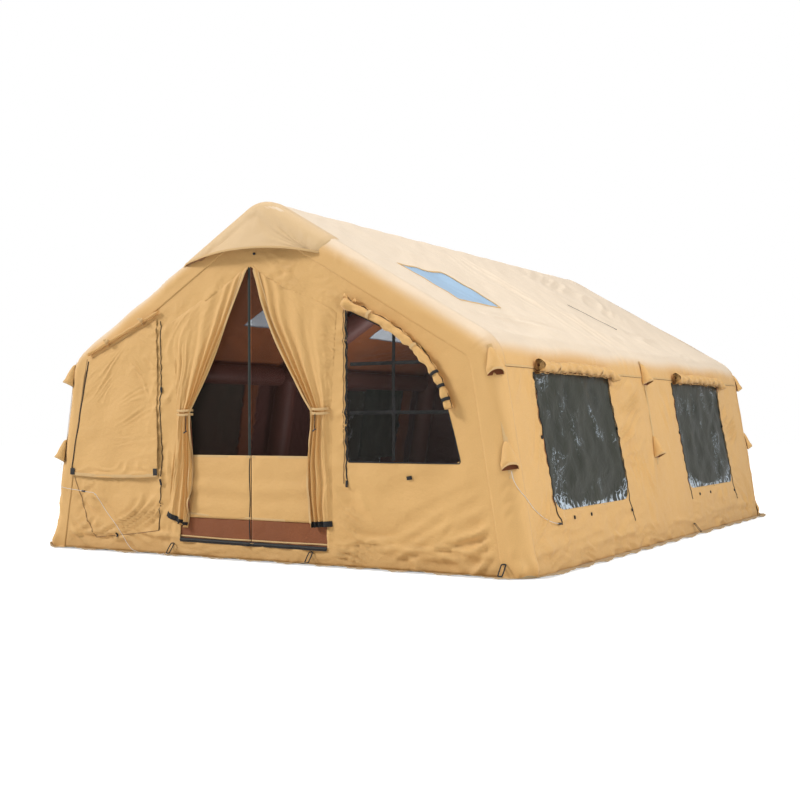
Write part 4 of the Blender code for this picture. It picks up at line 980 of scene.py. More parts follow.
def ribbon_shape(path, out, width, height, profile=tape_profile, closed=False):
    """Points, faces, ends and flat coordinates of a profile carried along a path."""
    path = np.asarray(path, float)
    out = np.broadcast_to(np.asarray(out, float), path.shape)
    before = np.roll(path, 1, axis=0) if closed else np.vstack((path[:1], path[:-1]))
    after = np.roll(path, -1, axis=0) if closed else np.vstack((path[1:], path[-1:]))
    across = unit(np.cross(after - before, out))
    width = np.broadcast_to(width, (len(path),))[:, None, None]
    points = (path[:, None] + profile[None, :, :1] * width * across[:, None]
              + profile[None, :, 1:] * height * out[:, None])
    flat = np.stack(np.broadcast_arrays(path_length(path)[:, None], profile[None, :, 0] * width[:, :, 0]), -1)
    size = (len(path), len(profile))
    faces, ends = (ring_faces(*size), []) if closed else (grid_faces(*size, True), caps(*size))
    return points.reshape(-1, 3), faces, ends, flat.reshape(-1, 2)


def outward_faces(points, faces, ends):
    """Turn a closed shape's faces outwards: the volume that they bound has to come out positive."""
    corners = points[faces]
    volume = (corners[:, 0] * np.cross(corners[:, 1], corners[:, 2])).sum()
    volume = volume + (corners[:, 0] * np.cross(corners[:, 2], corners[:, 3])).sum()
    if volume < 0:
        return faces[:, ::-1], [end[::-1] for end in ends]
    return faces, ends


def trim(name, shapes, finish, body="frame", *nodes, slot=None):
    """Several closed shapes as one object, which moves with a body; a slot is looked up from its finish unless one is
    named, and handed on.
    """
    faces, ends, count = [], [], 0
    for points, shape_faces, shape_ends, _ in shapes:
        shape_faces, shape_ends = outward_faces(points - points.mean(axis=0), shape_faces, shape_ends)
        faces += (shape_faces + count).tolist()
        ends += [[corner + count for corner in end] for end in shape_ends]
        count += len(points)
    thing = mesh_object(name, np.vstack([shape[0] for shape in shapes]), faces + ends, finish,
                        np.vstack([shape[3] for shape in shapes]))
    thing.data.set_sharp_from_angle(angle=math.radians(40))
    return belongs(thing, body, slot or trim_slots.get(finish.name, "wall_cloth"), *nodes)


def on_wall_path(side, places, lift=0.001):
    """A path over y and z, laid on a side wall's cloth, with the direction out of it."""
    flat = even(np.asarray(places, float), 0.02)
    path = shell_point(side, wall_run(flat[:, 1]), flat[:, 0], lift)
    return path, np.array((side * math.cos(lean), 0, math.sin(lean)))


def on_front_path(places, lift=0.001, size=0.02):
    """A path over x and z, laid on the front wall's cloth, with the direction out of it."""
    flat = even(np.asarray(places, float), size)
    return front_point(flat[:, 0], flat[:, 1], lift - 0.003), front_out


def turning(turns, first, second):
    """Directions at each turn from the first direction towards the second."""
    return np.cos(turns)[:, None] * first + np.sin(turns)[:, None] * second


print("ribbon helpers ready")

# %% [markdown]
# A zip runs down both sides of every side window and a hand's breadth on, for the cover that is rolled up
# above it. Along the front edge runs a line of red stitching, and small black tabs sit under the sill.

# %% Zips, stitching and tabs of the side windows
def zip_line(centre, end, grow, start, tail):
    """A side window's edge from a height down past its lower corner, in y and z, with a slight wander."""
    z = steps(start, tail, 0.015)
    y = centre + end * (window_half + grow) - window_slant * (z - window_low) / (window_high - window_low)
    below = np.clip(0.50 - z, 0, None)
    y = y - end * 0.10 * np.clip(below, 0, 0.12) + 0.35 * np.clip(window_low - z, 0, None)
    return np.column_stack((y + 0.003 * np.sin(z * 47 + centre), z))


def lens_shape(centre, out, half):
    """A small rounded block that lies on the cloth: half-widths along the tent, up the wall and out of it."""
    out = np.asarray(out, float)
    up = np.cross(out, (0, 1.0, 0)) if abs(out[0]) > 0.5 else np.array((0, 0, 1.0))
    along = np.cross(up, out)
    u, v = np.meshgrid(np.linspace(-math.pi / 2, math.pi / 2, 7), np.linspace(0, math.tau, 12, endpoint=False),
                       indexing="ij")
    square = 1 / np.maximum(np.abs(np.cos(v)), np.abs(np.sin(v))) ** 0.8
    a = half[0] * np.cos(u) ** 0.5 * np.cos(v) * square
    b = half[1] * np.cos(u) ** 0.5 * np.sin(v) * square
    points = centre + a[..., None] * along + b[..., None] * up + (half[2] * np.sin(u))[..., None] * out
    return points.reshape(-1, 3), grid_faces(7, 12, True), caps(7, 12), np.stack((a, b), -1).reshape(-1, 2)


for side, label in sides:
    wall_out = np.array((side * math.cos(lean), 0, math.sin(lean)))
    zips, stitches, tabs = [], [], []
    for place, centre in windows:
        for end, tail in ((-1, 0.31), (1, 0.23)):
            path, out = on_wall_path(side, zip_line(centre, end, 0.006, 1.39, tail))
            zips.append(ribbon_shape(path, out, 0.013, 0.0042, zip_profile))
        for low_z, high_z in ((1.02, 1.24), (0.72, 0.95), (0.45, 0.52)):
            path, out = on_wall_path(side, zip_line(centre, -1, 0.020, high_z, low_z), 0.0014)
            stitches.append(ribbon_shape(path, out, 0.0050, 0.0016))
        tabs += [lens_shape(shell_point(side, wall_run(z), centre + y, 0.004), wall_out, (0.011, 0.014, 0.005))
                 for y, z in ((-0.46, 0.345), (-0.11, 0.345), (0.73, 0.32), (-0.79, 0.93), (0.70, 0.98))]
    trim("window_zips_" + label, zips, zip_tape)
    trim("window_stitches_" + label, stitches, red_thread)
    trim("window_tabs_" + label, tabs, black_web)
print("window trims")

# %% [markdown]
# A rolled cover is a sheet wound into a spiral. Its profile is an Archimedean spiral, and the profile is
# carried along the roll while the radius swells between the straps, which gives the lumps.

# %% Rolled covers
def rolled_sheet(name, centres, across, up, radius, turns, start_turn, node, rests):
    """A spiral of cloth along a line: the distance from the axis grows evenly with the turn."""
    count = int(turns * 20)
    sweep = np.linspace(0, turns * math.tau, count)
    share = sweep / sweep[-1]
    spread = 0.22 + 0.78 * share
    angle = start_turn + sweep
    run = path_length(centres)
    along = run[:, None]
    twist = 1 + 0.17 * np.sin(3 * angle + along * 38 + start_turn) + 0.12 * np.sin(2 * angle - along * 61)
    size = radius[:, None] * spread * (1 + (twist - 1) * rise(share, 0.55, 0.9))
    x, y = size * np.cos(angle), size * np.sin(angle)
    way = unit(np.gradient(centres, axis=0))
    slid = -0.030 * (1 - share) * np.exp(-along / 0.05)
    points = (centres[:, None] + x[..., None] * across[:, None] + y[..., None] * up[:, None]
              + slid[..., None] * way[:, None])
    around = path_length(np.column_stack((x[len(x) // 2], y[len(y) // 2])))
    flat = np.stack(np.broadcast_arrays(along, around[None, :]), -1)
    thing = surface(name, points, grid_faces(len(centres), count), [tan_cloth, hood_lining], flat)
    sewn(thing, (float(run[-1]), float(around[-1])), None, cloth_thick, "frame", "wall_cloth", [node], "folded", rests)


def lumps(run, straps, seed):
    """The roll's radius as a share: drawn in at each strap, full between, and a little uneven."""
    tight = sum(np.exp(-((run - strap) / 0.045) ** 2) for strap in straps)
    return 0.97 - 0.20 * np.clip(tight, 0, 1) + slow_waves(run, run * 0, 0.22, 0.03, seed)


roll_straps = (0.30, 1.14)
for side, label in sides:
    bands = []
    for place, centre in windows:
        seed = 91 + (side > 0) + 2 * (place == "front")
        y = steps(centre - 0.752, centre + 0.752, 0.022)
        run = y - y[0]
        radius = 0.044 * lumps(run, roll_straps, seed) * (1 + 0.24 * np.exp(-(run / 0.07) ** 2))
        droop = 0.048 * rise(run, 1.26, 1.51) ** 2 + 0.006 * np.sin(run * 7)
        x, z = on_shell(wall_run(1.430 - droop), 0.047)
        centres = np.stack((side * x, y, z), -1)
        out = np.broadcast_to((side * math.cos(lean), 0, math.sin(lean)), centres.shape)
        up = np.broadcast_to((-side * math.sin(lean), 0, math.cos(lean)), centres.shape)
        rolled_sheet("rolled_cover_cloth_" + label + "_" + place, centres, out, up, radius, 4.4, 2.2,
                     "rolled_cover_" + label + "_" + place, "wall_cloth_" + label)
        for strap in roll_straps:
            index = int(np.abs(run - strap).argmin())
            wide = turning(np.linspace(-2.2, 2.9, 26), out[0], up[0])
            bands.append(ribbon_shape(centres[index] + (radius[index] + 0.002) * wide, wide, 0.020, 0.0016))
    trim("roll_straps_" + label, bands, tan_strap)
print("side rolls")

# %% Front roll
t = np.linspace(0, 1, 60)[:, None]
roll_start, roll_bend, roll_end = np.array((0.83, 1.897)), np.array((1.56, 1.606)), np.array((1.671, 1.13))
line = roll_start * (1 - t) ** 2 + 2 * roll_bend * t * (1 - t) + roll_end * t ** 2
way = unit((roll_bend - roll_start) * (1 - t) + (roll_end - roll_bend) * t)
run = path_length(line)
front_straps = (0.22, 0.66, 0.92, 1.02, 1.11)
radius = 0.035 * lumps(run, front_straps, 97) * (
    1 + 0.16 * np.sin(run * 51) * np.sin(run * 17) + 0.55 * np.exp(-(run / 0.045) ** 2))
centres = np.column_stack((line[:, 0], np.full(60, front_y - 0.041), line[:, 1]))
aside = np.column_stack((-way[:, 1], np.zeros(60), way[:, 0]))
rolled_sheet("rolled_cover_cloth_front", centres, aside, np.broadcast_to(front_out, centres.shape), radius, 3.6, 2.4,
             "rolled_cover_front", "front_wall_cloth")
for label, straps, finish in (("upper", front_straps[:2], tan_strap), ("lower", front_straps[2:], black_web)):
    bands = []
    for strap in straps:
        index = int(np.abs(run - strap).argmin())
        wide = turning(np.linspace(-0.6, math.pi + 0.6, 22), aside[index], front_out)
        bands.append(ribbon_shape(centres[index] + (radius[index] * 1.05 + 0.0015) * wide, wide, 0.024, 0.0020))
    trim("roll_straps_front_" + label, bands, finish)


def flap_place(a, b):
    """The loose end of the roll: it hangs in two soft waves."""
    return np.stack((0.815 + a * 0.93 - 0.1 * b, front_y - 0.020 - 0.022 * np.sin(b * 40) - 0.010 * np.sin(a * 62),
                     1.925 - 0.40 * a + 0.016 * np.sin(a * 70) + b * 0.5), -1)


flap, size, area = sheet_piece("roll_end_flap", steps(0, 0.13, 0.006), steps(0, 0.075, 0.006), flap_place,
                               [tan_cloth, rust_cloth], (0, -1, 0.3))
sewn(flap, size, None, cloth_thick, "frame", "wall_cloth", [], "folded", "rolled_cover_cloth_front")
print("front roll", round(float(run[-1]), 2), "m long")

# %% [markdown]
# The hood hangs over the doorway from the top of the front arch. Its back lies on the sleeve, and its
# front edge is free and stands forward in the middle. Wrinkles fan out from its two sewn tips.

# %% Door hood
hood_half = 0.70


def hood_place(across, down):
    """A point of the hood: across runs from its left tip to its right, down from its back edge to its free edge."""
    x = door_middle + across
    half = np.abs(x)
    run = np.where(half < shell_places[26][0],
                   ridge_top - ridge_radius * np.arcsin(np.clip(half / ridge_radius, 0, 1)), roof_run(half))
    side = np.where(x < 0, -1, 1)
    top_x, top_z = on_shell(run, 0.009)
    base_x, base_z = on_shell(run, -sleeve_radius)
    share = 1 - (across / hood_half) ** 2
    tip_z = ridge_high - hood_half * math.tan(slope) - 0.075
    low_z = tip_z + share * (2.355 - tip_z)
    last_turn = np.arccos(np.clip((low_z - base_z) / (top_z - base_z), 0, 1))
    turn = np.clip((down - 0.10) / 0.20, 0, 1) * last_turn
    back = np.clip(0.10 - down, 0, None)
    sunk = 0.013 * (1 - rise(down, 0, 0.05) * rise(hood_half - np.abs(across), 0, 0.04))
    arc_x = base_x + (top_x - base_x) * np.cos(turn)
    arc_z = base_z + (top_z - base_z) * np.cos(turn)
    arc_y = front_y + sleeve_radius - (sleeve_radius + 0.009) * np.sin(turn) + back
    flap = np.clip((down - 0.30) / (0.55 - 0.30), 0, 1)
    fall = np.clip(arc_z - low_z, 0, None)
    wrinkle = (fan(across, down, (-hood_half - 0.05, 0.50), -0.35, 0.8, 0.55, 4.0, 0.010)
               + fan(across, down, (hood_half + 0.05, 0.50), math.pi + 0.35, 0.8, 0.60, 5.0, 0.014)
               + slow_waves(across, down, 0.30, 0.0030, 101)) * rise(down, 0.12, 0.28)
    free = share * flap
    points_x = side * arc_x * (1 - free) + x * free
    points_z = arc_z - fall * flap - sunk * np.cos(turn)
    points_y = arc_y - (0.006 + 0.074 * share) * flap - np.abs(wrinkle) * (1 - 0.4 * flap) + sunk * np.sin(turn)
    return np.stack((points_x, points_y, points_z), -1)


hood, size, area = sheet_piece("door_hood_cloth", steps(-hood_half, hood_half, 0.016), steps(0, 0.55, 0.016),
                               hood_place, [hood_cloth, hood_lining], (0, -1, 0.6))
sewn(hood, size, None, 0.0018, "frame", "roof_cloth", ["door_hood"], "draped", "sleeve_front")
across = steps(-hood_half, hood_half, 0.02)
edge = hood_place(across, np.full(len(across), 0.549)) + (0, 0.0005, 0.006)
trim("hood_hem", [ribbon_shape(edge, (0, -1.0, 0.1), 0.016, 0.0020)], tan_strap, slot="roof_cloth")
print("hood", np.round(size, 2), "m")

# %% [markdown]
# Two curtains hang in the doorway, sewn along their outer edges and drawn aside by a tie at chest height.
# Above the tie the cloth falls in folds that run from the apex to the tie, and below it the cloth opens
# out again. The folds are a cosine across the cloth, deeper and narrower towards the free edge.

# %% Door curtains
tie_z = 1.13


def curtain_place(side, foot_outer, foot_inner, foot_high, foot_drop, bow, seed):
    """A function that puts a curtain's cloth in place: along runs from the sewn edge to the free one."""
    def place(along, down):
        above, below = np.clip(down, 0, 1), np.clip(down - 1, 0, 1)
        top_x, top_z = 0.79 - 0.774 * along, 1.850 + 0.392 * along
        middle_x = 0.735 - 0.150 * along ** 0.8
        foot_x = foot_outer + (foot_inner - foot_outer) * along
        x = np.where(down <= 1, top_x + (middle_x - top_x) * above, middle_x + (foot_x - middle_x) * below)
        foot_z = foot_high - foot_drop * along
        z = np.where(down <= 1, top_z + (tie_z - top_z) * above, tie_z + (foot_z - tie_z) * below)
        x = x - bow * along ** 2 * np.sin(math.pi * above) - 0.035 * along * np.sin(math.pi * below)
        wander = 0.12 * np.sin(2.3 * down + seed) + slow_waves(along * 0.8, down, 0.6, 0.10, seed)
        wave = 0.5 + 0.5 * np.sin(math.tau * (1.3 * along + (3.1 - 1.4 * below) * along ** 3 + wander))
        free = rise(along, 0.0, 0.20) * rise(down, 0.0, 0.05)
        depth = 0.010 + 0.024 * above ** 0.7 + 0.006 * below
        fine = 0.5 + 0.5 * np.sin(math.tau * (8 * along + 1.4 * wander + 0.6 * down))
        stand = free * (0.004 + depth * wave ** 1.3 * (0.30 + 0.70 * along) + 0.005 * fine * above * (1 - 0.8 * below))
        stand = stand - 0.0025 * (1 - free) + 0.008 * free * np.exp(-((down - 1) / 0.06) ** 2) * (1 - wave)
        relief = front_relief(x * side + door_middle, z) * (1 - rise(along, 0.1, 0.6))
        return np.stack((door_middle + side * x, front_y - relief - stand, z), -1)
    return place


for side, label, area, *shape in ((-1, "left", 0.60, 0.84, 0.625, 0.305, 0.085, 0.020),
                                  (1, "right", 0.56, 0.75, 0.585, 0.285, 0.012, 0.060)):
    place = curtain_place(side, *shape, 7 + side)
    rows = np.concatenate((np.linspace(0, 1, 66), np.linspace(1, 2, 60)[1:]))
    a, b = np.meshgrid(np.linspace(0, 1, 120), rows, indexing="ij")
    curtain = surface("door_curtain_cloth_" + label, place(a.ravel(), b.ravel()), grid_faces(120, len(rows)),
                      [tan_cloth, rust_cloth], np.stack((a * 0.87, b * 0.98), -1), front_out)
    sewn(curtain, (0.87, 1.96), area, cloth_thick, "frame", "wall_cloth", ["door_curtain_" + label], "gathered",
         "front_wall_cloth")
    hem_path = place(np.linspace(0.02, 0.98, 60), np.full(60, 1.975)) + (0, -0.0018, 0)
    trim("curtain_hem_" + label, [ribbon_shape(hem_path, front_out, 0.042, 0.0022)], black_web)
    edges = []
    for share, width in ((0.992, 0.016), (0.93, 0.010)):
        edge = place(np.full(110, share), np.linspace(0.03, 1.96, 110)) + (0, -0.0012, 0)
        edges.append(ribbon_shape(edge, front_out, width, 0.0022))
    trim("curtain_edges_" + label, edges, tan_strap)
print("curtains")

# %% [markdown]
# Each curtain is held by a strap sewn double, so that two bands show, with a toggle on a short loop below.
# A toggle is a small turned barrel with a waist.

# %% Toggles
def turned_shape(profile, centre, axis, count=14, closed=False):
    """A profile of radius and height turned about an axis through a centre."""
    axis = unit(axis)
    first = unit(np.cross(axis, (0, 0, 1.0) if abs(axis[2]) < 0.9 else (1.0, 0, 0)))
    turns = np.linspace(0, math.tau, count, endpoint=False)
    wheel = turning(turns, first, np.cross(axis, first))
    profile = np.asarray(profile, float)
    points = np.asarray(centre, float) + profile[:, None, :1] * wheel + profile[:, None, 1:] * axis
    size = (len(profile), count)
    faces, ends = (ring_faces(*size), []) if closed else (grid_faces(*size, True), caps(*size))
    flat = np.stack(np.broadcast_arrays(turns[None, :] * 0.01, profile[:, 1:]), -1).reshape(-1, 2)
    return points.reshape(-1, 3), faces, ends, flat


barrel = np.array(((0.0035, -0.017), (0.0055, -0.0155), (0.0062, -0.009), (0.0050, -0.003), (0.0050, 0.003),
                   (0.0062, 0.009), (0.0055, 0.0155), (0.0035, 0.017)))


def front_hanger(x, z, length, stand):
    """A toggle's top and bottom on the front wall."""
    return front_point(np.array((x + 0.003, x)), np.array((z + length, z)), stand)


loops, barrels = [], []
for top, bottom in (front_hanger(-0.665, 0.973, 0.13, 0.045), front_hanger(0.57, 0.987, 0.12, 0.045)):
    share = np.linspace(0, 1, 9)[:, None]
    aside = unit(np.cross(bottom - top, front_out))
    for sway in (-0.004, 0.004):
        path = top + (bottom - top) * share + aside * sway * np.sin(math.pi * share) + front_out * 0.003
        loops.append(ribbon_shape(path, front_out, 0.0032, 0.0028))
    tilt = np.cross(bottom - top, front_out) * 0.8 + (bottom - top) * 0.5
    barrels.append(turned_shape(barrel, bottom + front_out * 0.008, tilt))
trim("door_toggles_loops", loops, black_web)
trim("door_toggles", barrels, black_plastic)
print("toggles")

# %% Tie straps
for side, label in ((-1, "left"), (1, "right")):
    bands = []
    for z in (tie_z + 0.014, tie_z - 0.018):
        share = np.linspace(0, 1, 40)
        bow = np.sin(math.pi * share) ** 0.35
        x = door_middle + side * (0.725 - 0.155 * share)
        path = np.column_stack((x, front_y - 0.004 - 0.040 * bow, np.full(40, z) - 0.006 * np.sin(math.pi * share)))
        out = unit(np.column_stack((side * np.cos(math.pi * share) * 0.7, -np.sin(math.pi * share) - 0.3, 0 * share)))
        bands.append(ribbon_shape(path, out, 0.019, 0.0026))
    trim("tie_strap_" + label, bands, tan_strap, "frame", "tieback_" + label)
print("tie straps")

# %% [markdown]
# Behind the curtains two leaves close the doorway. Each is insect mesh above and cloth below, and they
# meet in a zip in the middle. The mesh, the cloth panel and the rust strip at the sill are separate sheets.

# %% Door leaves
leaf_front = front_y + 0.0048


def leaf_outline(side, low, high):
    """A leaf between two heights, from the middle zip to its outer edge."""
    outer = door_half + 0.02
    apex, shoulder = door_apex + 0.0229, door_shoulder + 0.02
    across = np.linspace(0.003, outer, 12)
    upper = np.column_stack((across, np.minimum(high, apex - (apex - shoulder) * across / outer)))
    outline = np.vstack(((0.003, low), upper, (outer, low)))
    return outline * (side, 1) + (door_middle, 0)


def leaf_sheet(name, side, low, high, finish, slot, body, relief, node=None, depth=0.0012):
    """A sheet of the leaf, with its own waves."""
    outline = leaf_outline(side, low, high)
    xs = steps(outline[:, 0].min(), outline[:, 0].max(), 0.02)
    zs = steps(low, outline[:, 1].max(), 0.02)

    def place(x, z):
        edge = rise(np.abs(x - door_middle), 0.0, 0.06) * (1 - rise(np.abs(x - door_middle), 0.60, 0.69))
        return np.stack((x, leaf_front - relief(x, z) * edge, z), -1)

    sewn(*sheet_piece(name, xs, zs, place, finish, (0, -1, 0), keep=outline), depth, body, slot,
         [node] if node else [], "hung", "front_wall_cloth")


for side, label in ((-1, "left"), (1, "right")):
    body = label + "_leaf"
    leaf_sheet("door_mesh_" + label, side, 0.775, 3.0, brown_mesh, "mesh_cloth", body,
               lambda x, z: slow_waves(x, z, 0.5, 0.0010, 111) - 0.001, "door_leaf_" + label, 0.0004)
    leaf_sheet("door_panel_" + label, side, 0.305, 0.79, [tan_cloth, wall_lining], "wall_cloth", body,
               lambda x, z: 0.0035 + 0.0060 * np.sin((z - 0.53 + 0.04 * np.cos(x * 2.4)) * math.tau / 0.17)
               * np.exp(-((z - 0.52) / 0.14) ** 2) + slow_waves(x, z, 0.4, 0.0012, 112) * 0.6)
    leaf_sheet("door_sill_strip_" + label, side, 0.115, 0.315, [rust_cloth, wall_lining], "wall_cloth", body,
               lambda x, z: slow_waves(x, z, 0.25, 0.0012, 113) - 0.001)
    share = np.linspace(0, 1, 50)
    x = door_middle + side * np.linspace(0.004, 0.71, 50)
    edge_z = 0.318 + 0.020 * share ** 2 * (side < 0) - 0.004 * np.sin(np.linspace(0, 5, 50))
    hems = [ribbon_shape(np.column_stack((x, np.full(50, leaf_front - 0.0015), z)), front_out, width, height)
            for z, width, height in ((edge_z, 0.016, 0.0024), (np.full(50, 0.785), 0.018, 0.0022),
                                     (0.150 + 0.3 * (edge_z - 0.318), 0.012, 0.0020))]
    trim("door_panel_hems_" + label, hems, tan_strap, body)
zip_z = steps(0.13, door_apex, 0.02)
zip_path = np.column_stack((0 * zip_z + door_middle - 0.0150, 0 * zip_z + leaf_front - 0.0012, zip_z))
upper = zip_z > 0.78
tape_green = band_finish("dark green zip tape", (0.030, 0.045, 0.035), (0.014, 0.022, 0.017), 0.6, 0.0030, 0.0008)
trim("door_zip_tape", [ribbon_shape(zip_path[upper], front_out, 0.026, 0.0016)], tape_green, "left_leaf")
wave_path = zip_path[~upper] + 0.004 * np.sin(zip_z[~upper] * 17)[:, None] * (1, 0, 0)
trim("door_zip_coil", [ribbon_shape(wave_path, front_out, 0.009, 0.0026, zip_profile),
                       ribbon_shape(zip_path[upper] + (0, -0.0014, 0), front_out, 0.006, 0.0018, zip_profile)],
     zip_tape, "left_leaf")
print("door leaves")

# %% Zip slider, sill tape
low, high, middle = box_of("door_zip_slider")
slider_profile = ((0.004, -0.013), (0.0072, -0.010), (0.0072, 0.006), (0.0045, 0.013))
slider_points, *slider_rest = turned_shape(slider_profile, middle + (0, -0.001, 0), (0, 0, 1.0), 16)
slider_points[:, 1] = middle[1] + (slider_points[:, 1] - middle[1]) * 0.33
share = np.linspace(0, 1, 9)
pull = ribbon_shape(np.column_stack((middle[0] + 0.002 * np.sin(4 * share), low[1] - 0.004 - 0.003 * share,
                                     middle[2] - 0.006 - 0.040 * share)), front_out, 0.007, 0.0022)
trim("zip_slider", [(slider_points, *slider_rest), pull], black_plastic, "slider", "door_zip_slider")
path, out = on_front_path(((door_middle - 0.70, 0.128), (door_middle, 0.122), (door_middle + 0.70, 0.120)), 0.003)
trim("sill_zip", [ribbon_shape(path, out, 0.032, 0.0050, zip_profile)], zip_tape, "frame", "door_sill_zip")
print("slider and sill")

# %% [markdown]
# The front left window is covered. The cover hangs from a sloping edge with a rolled fold along it, and
# its hem stands off the wall. Black zips run down both sides and on below it.

# %% Left window cover
cover_top = (np.array((-1.01, 1.876)), np.array((-1.770, 1.57)))
cover_foot = (np.array((-0.99, 0.61)), np.array((-1.971, 0.61)))
cover_folds = (((0.12, 0.30), (0.16, 0.26), -0.9, 0.070, 0.0040), ((0.18, 0.75), (0.20, 0.30), 0.08, 0.060, 0.0022),
               ((0.60, 0.25), (0.20, 0.22), 0.5, 0.070, 0.0022), ((0.40, 1.08), (0.45, 0.06), 0.1, 0.060, 0.0030))


def cover_place(along, down):
    """The cover between its top edge and its foot, with slanting ripples and a hem that stands out."""
    top_x, top_z = (cover_top[0][i] + (cover_top[1][i] - cover_top[0][i]) * along for i in (0, 1))
    foot_x, foot_z = (cover_foot[0][i] + (cover_foot[1][i] - cover_foot[0][i]) * along for i in (0, 1))
    x, z = top_x + (foot_x - top_x) * down, top_z + (foot_z - top_z) * down
    ripple = 0.5 - 0.5 * np.cos(math.tau * 2.5 * (along * 0.6 + down))
    stand = drawn_folds(along * 0.85, down * 1.15, cover_folds, 400) + slow_waves(along, down, 0.35, 0.003, 121)
    stand = 0.0050 + 0.008 * ripple * np.sin(math.pi * down) + 0.016 * down ** 4 + stand * rise(down, 0.0, 0.10)
    z = z - 0.015 * np.sin(math.pi * along) * down ** 3
    stand = np.maximum(stand, front_relief(x, z) + 0.0045)
    return np.stack((x, front_y - stand, z), -1)


a, b = np.meshgrid(np.linspace(0, 1, 84), np.linspace(0, 1, 110), indexing="ij")
cover = surface("left_window_cover_cloth", cover_place(a.ravel(), b.ravel()), grid_faces(84, 110),
                [tan_cloth, wall_lining], np.stack((a * 0.9, b * 1.12), -1), front_out)
sewn(cover, (0.9, 1.12), None, 0.0018, "left_cover", "wall_cloth", ["window_cover_left"], "hung", "front_wall_cloth")
hem_path = cover_place(np.linspace(0.01, 0.99, 50), np.full(50, 0.985)) + (0, -0.0012, 0)
trim("left_cover_hem", [ribbon_shape(hem_path, front_out, 0.026, 0.0020)], tan_strap, "left_cover")
edge = cover_place(np.full(80, 0.996), np.linspace(0.01, 0.99, 80)) + (0, -0.0012, 0)
corners = [cover_place(np.linspace(start, end, 5), np.full(5, 0.965)) + (0, -0.003, 0)
           for start, end in ((0.0, 0.045), (0.955, 1.0))]
trim("left_cover_zip_edges", [ribbon_shape(edge, front_out, 0.011, 0.0034, zip_profile),
                              *(ribbon_shape(corner, front_out, 0.055, 0.003) for corner in corners)],
     zip_tape, "left_cover")
print("left cover")

# %% Zips, tabs and folds round the left cover
fold_line = even(np.array(((-0.985, 1.933), (-1.25, 1.823), (-1.55, 1.701), (-1.745, 1.623))), 0.02)
fold_run = path_length(fold_line)
fold_radius = 0.018 * (1 + 0.16 * np.sin(fold_run * 40)) * (0.7 + 0.3 * rise(fold_run, 0, 0.08))
fold_up = np.array((math.sin(0.4), 0, math.cos(0.4)))
count = len(fold_line)
fold_middle = np.column_stack((fold_line[:, 0], np.full(count, front_y - 0.019), fold_line[:, 1]))
turns = np.linspace(0, math.tau, 14, endpoint=False)
fold_points = fold_middle[:, None] + fold_radius[:, None, None] * turning(turns, fold_up, front_out)
flat = np.stack(np.broadcast_arrays(fold_run[:, None], turns * 0.016), -1)
trim("left_cover_top_fold", [(fold_points.reshape(-1, 3), grid_faces(count, 14, True), caps(count, 14),
                              flat.reshape(-1, 2))], tan_cloth)
front_zips = []
for places, width in ((((-0.972, 1.86), (-0.972, 1.35), (-0.962, 0.62)), 0.0075),
                      (((-0.962, 0.55), (-0.972, 0.40), (-0.985, 0.24), (-1.00, 0.185)), 0.0080),
                      (((0.804, 1.925), (0.808, 1.35), (0.806, 0.75), (0.815, 0.63)), 0.0105)):
    path, out = on_front_path(places)
    path = path + (0.0026 * np.sin(path[:, 2] * 60))[:, None] * np.array((1.0, 0, 0))
    front_zips.append(ribbon_shape(path, out, width, 0.0042, zip_profile))
thin_lines = []
for places in (((-1.00, 0.185), (-1.25, 0.150), (-1.45, 0.128), (-1.70, 0.100)), ((0.786, 1.93), (0.788, 0.60)),
               ((-1.79, 1.58), (-1.86, 1.24), (-1.985, 0.62)), ((-1.94, 0.60), (-1.80, 0.26), (-1.70, 0.10))):
    path, out = on_front_path(places, 0.0015)
    thin_lines.append(ribbon_shape(path, out, 0.006, 0.0016))
trim("front_stitch_lines", thin_lines, brown_thread_and_shadow)
trim("front_zips", front_zips, zip_tape)
tabs = []
for x, z, tall in ((-0.965, 1.31, 0.045), (-0.958, 0.573, 0.05), (-1.451, 0.131, 0.035), (1.334, 0.651, 0.026),
                   (0.815, 0.60, 0.05)):
    path, out = on_front_path(((x, z + tall / 2), (x + 0.004, z - tall / 2)), 0.006, 0.006)
    tabs.append(ribbon_shape(path, out, 0.020 if tall > 0.03 else 0.042, 0.003))
trim("front_tabs", tabs, black_web)
knots = []
for share in (0.22, 0.72):
    index = int(share * count)
    wide = turning(np.linspace(-2.6, 2.6, 22), front_out, fold_up)
    middle = fold_middle[index]
    for shift in (-0.010, 0.010):
        knots.append(ribbon_shape(middle + shift * np.array((0.92, 0, -0.39)) + 0.0205 * wide, wide, 0.012, 0.0034))
    knots += [lens_shape(middle + (x, -0.029, z), front_out, (0.017, 0.009, 0.007))
              for x, z in ((-0.014, 0.018), (0.016, 0.013), (0.004, 0.004))]
trim("cover_fold_ties", knots, tan_strap)
eyelet = [lens_shape(np.array((-0.015, front_y - 0.012, 2.325)), front_out, (0.012, 0.010, 0.006))]
trim("door_top_eyelet", eyelet, black_plastic)
print("front zips and tabs")

# %% [markdown]
# The right window shows what is behind it: two bars cross the pane. Its edge is bound in black.

# %% Front window bindings and bars
outline = front_window(*right_window, grow=0.004)
path, out = on_front_path(np.vstack((outline, outline[:1])), 0.001)
trim("front_window_binding", [ribbon_shape(path, out, 0.009, 0.0022)], black_web)
bars = []
for places in (((1.205, 0.77), (1.205, 1.69)), ((0.84, 1.46), (1.60, 1.46)), ((0.84, 1.11), (1.64, 1.11))):
    path, out = on_front_path(places, -0.006)
    bars.append(ribbon_shape(path, out, 0.026, 0.0016))
trim("front_window_bars", bars, black_web)
print("front window trims")

# %% [markdown]
# Half cones of cloth on the arch legs hide the ends of the guy lines. A cone's radius grows from its tip
# to its mouth, and its mouth has a hem. The tape it is sewn to runs down the leg.

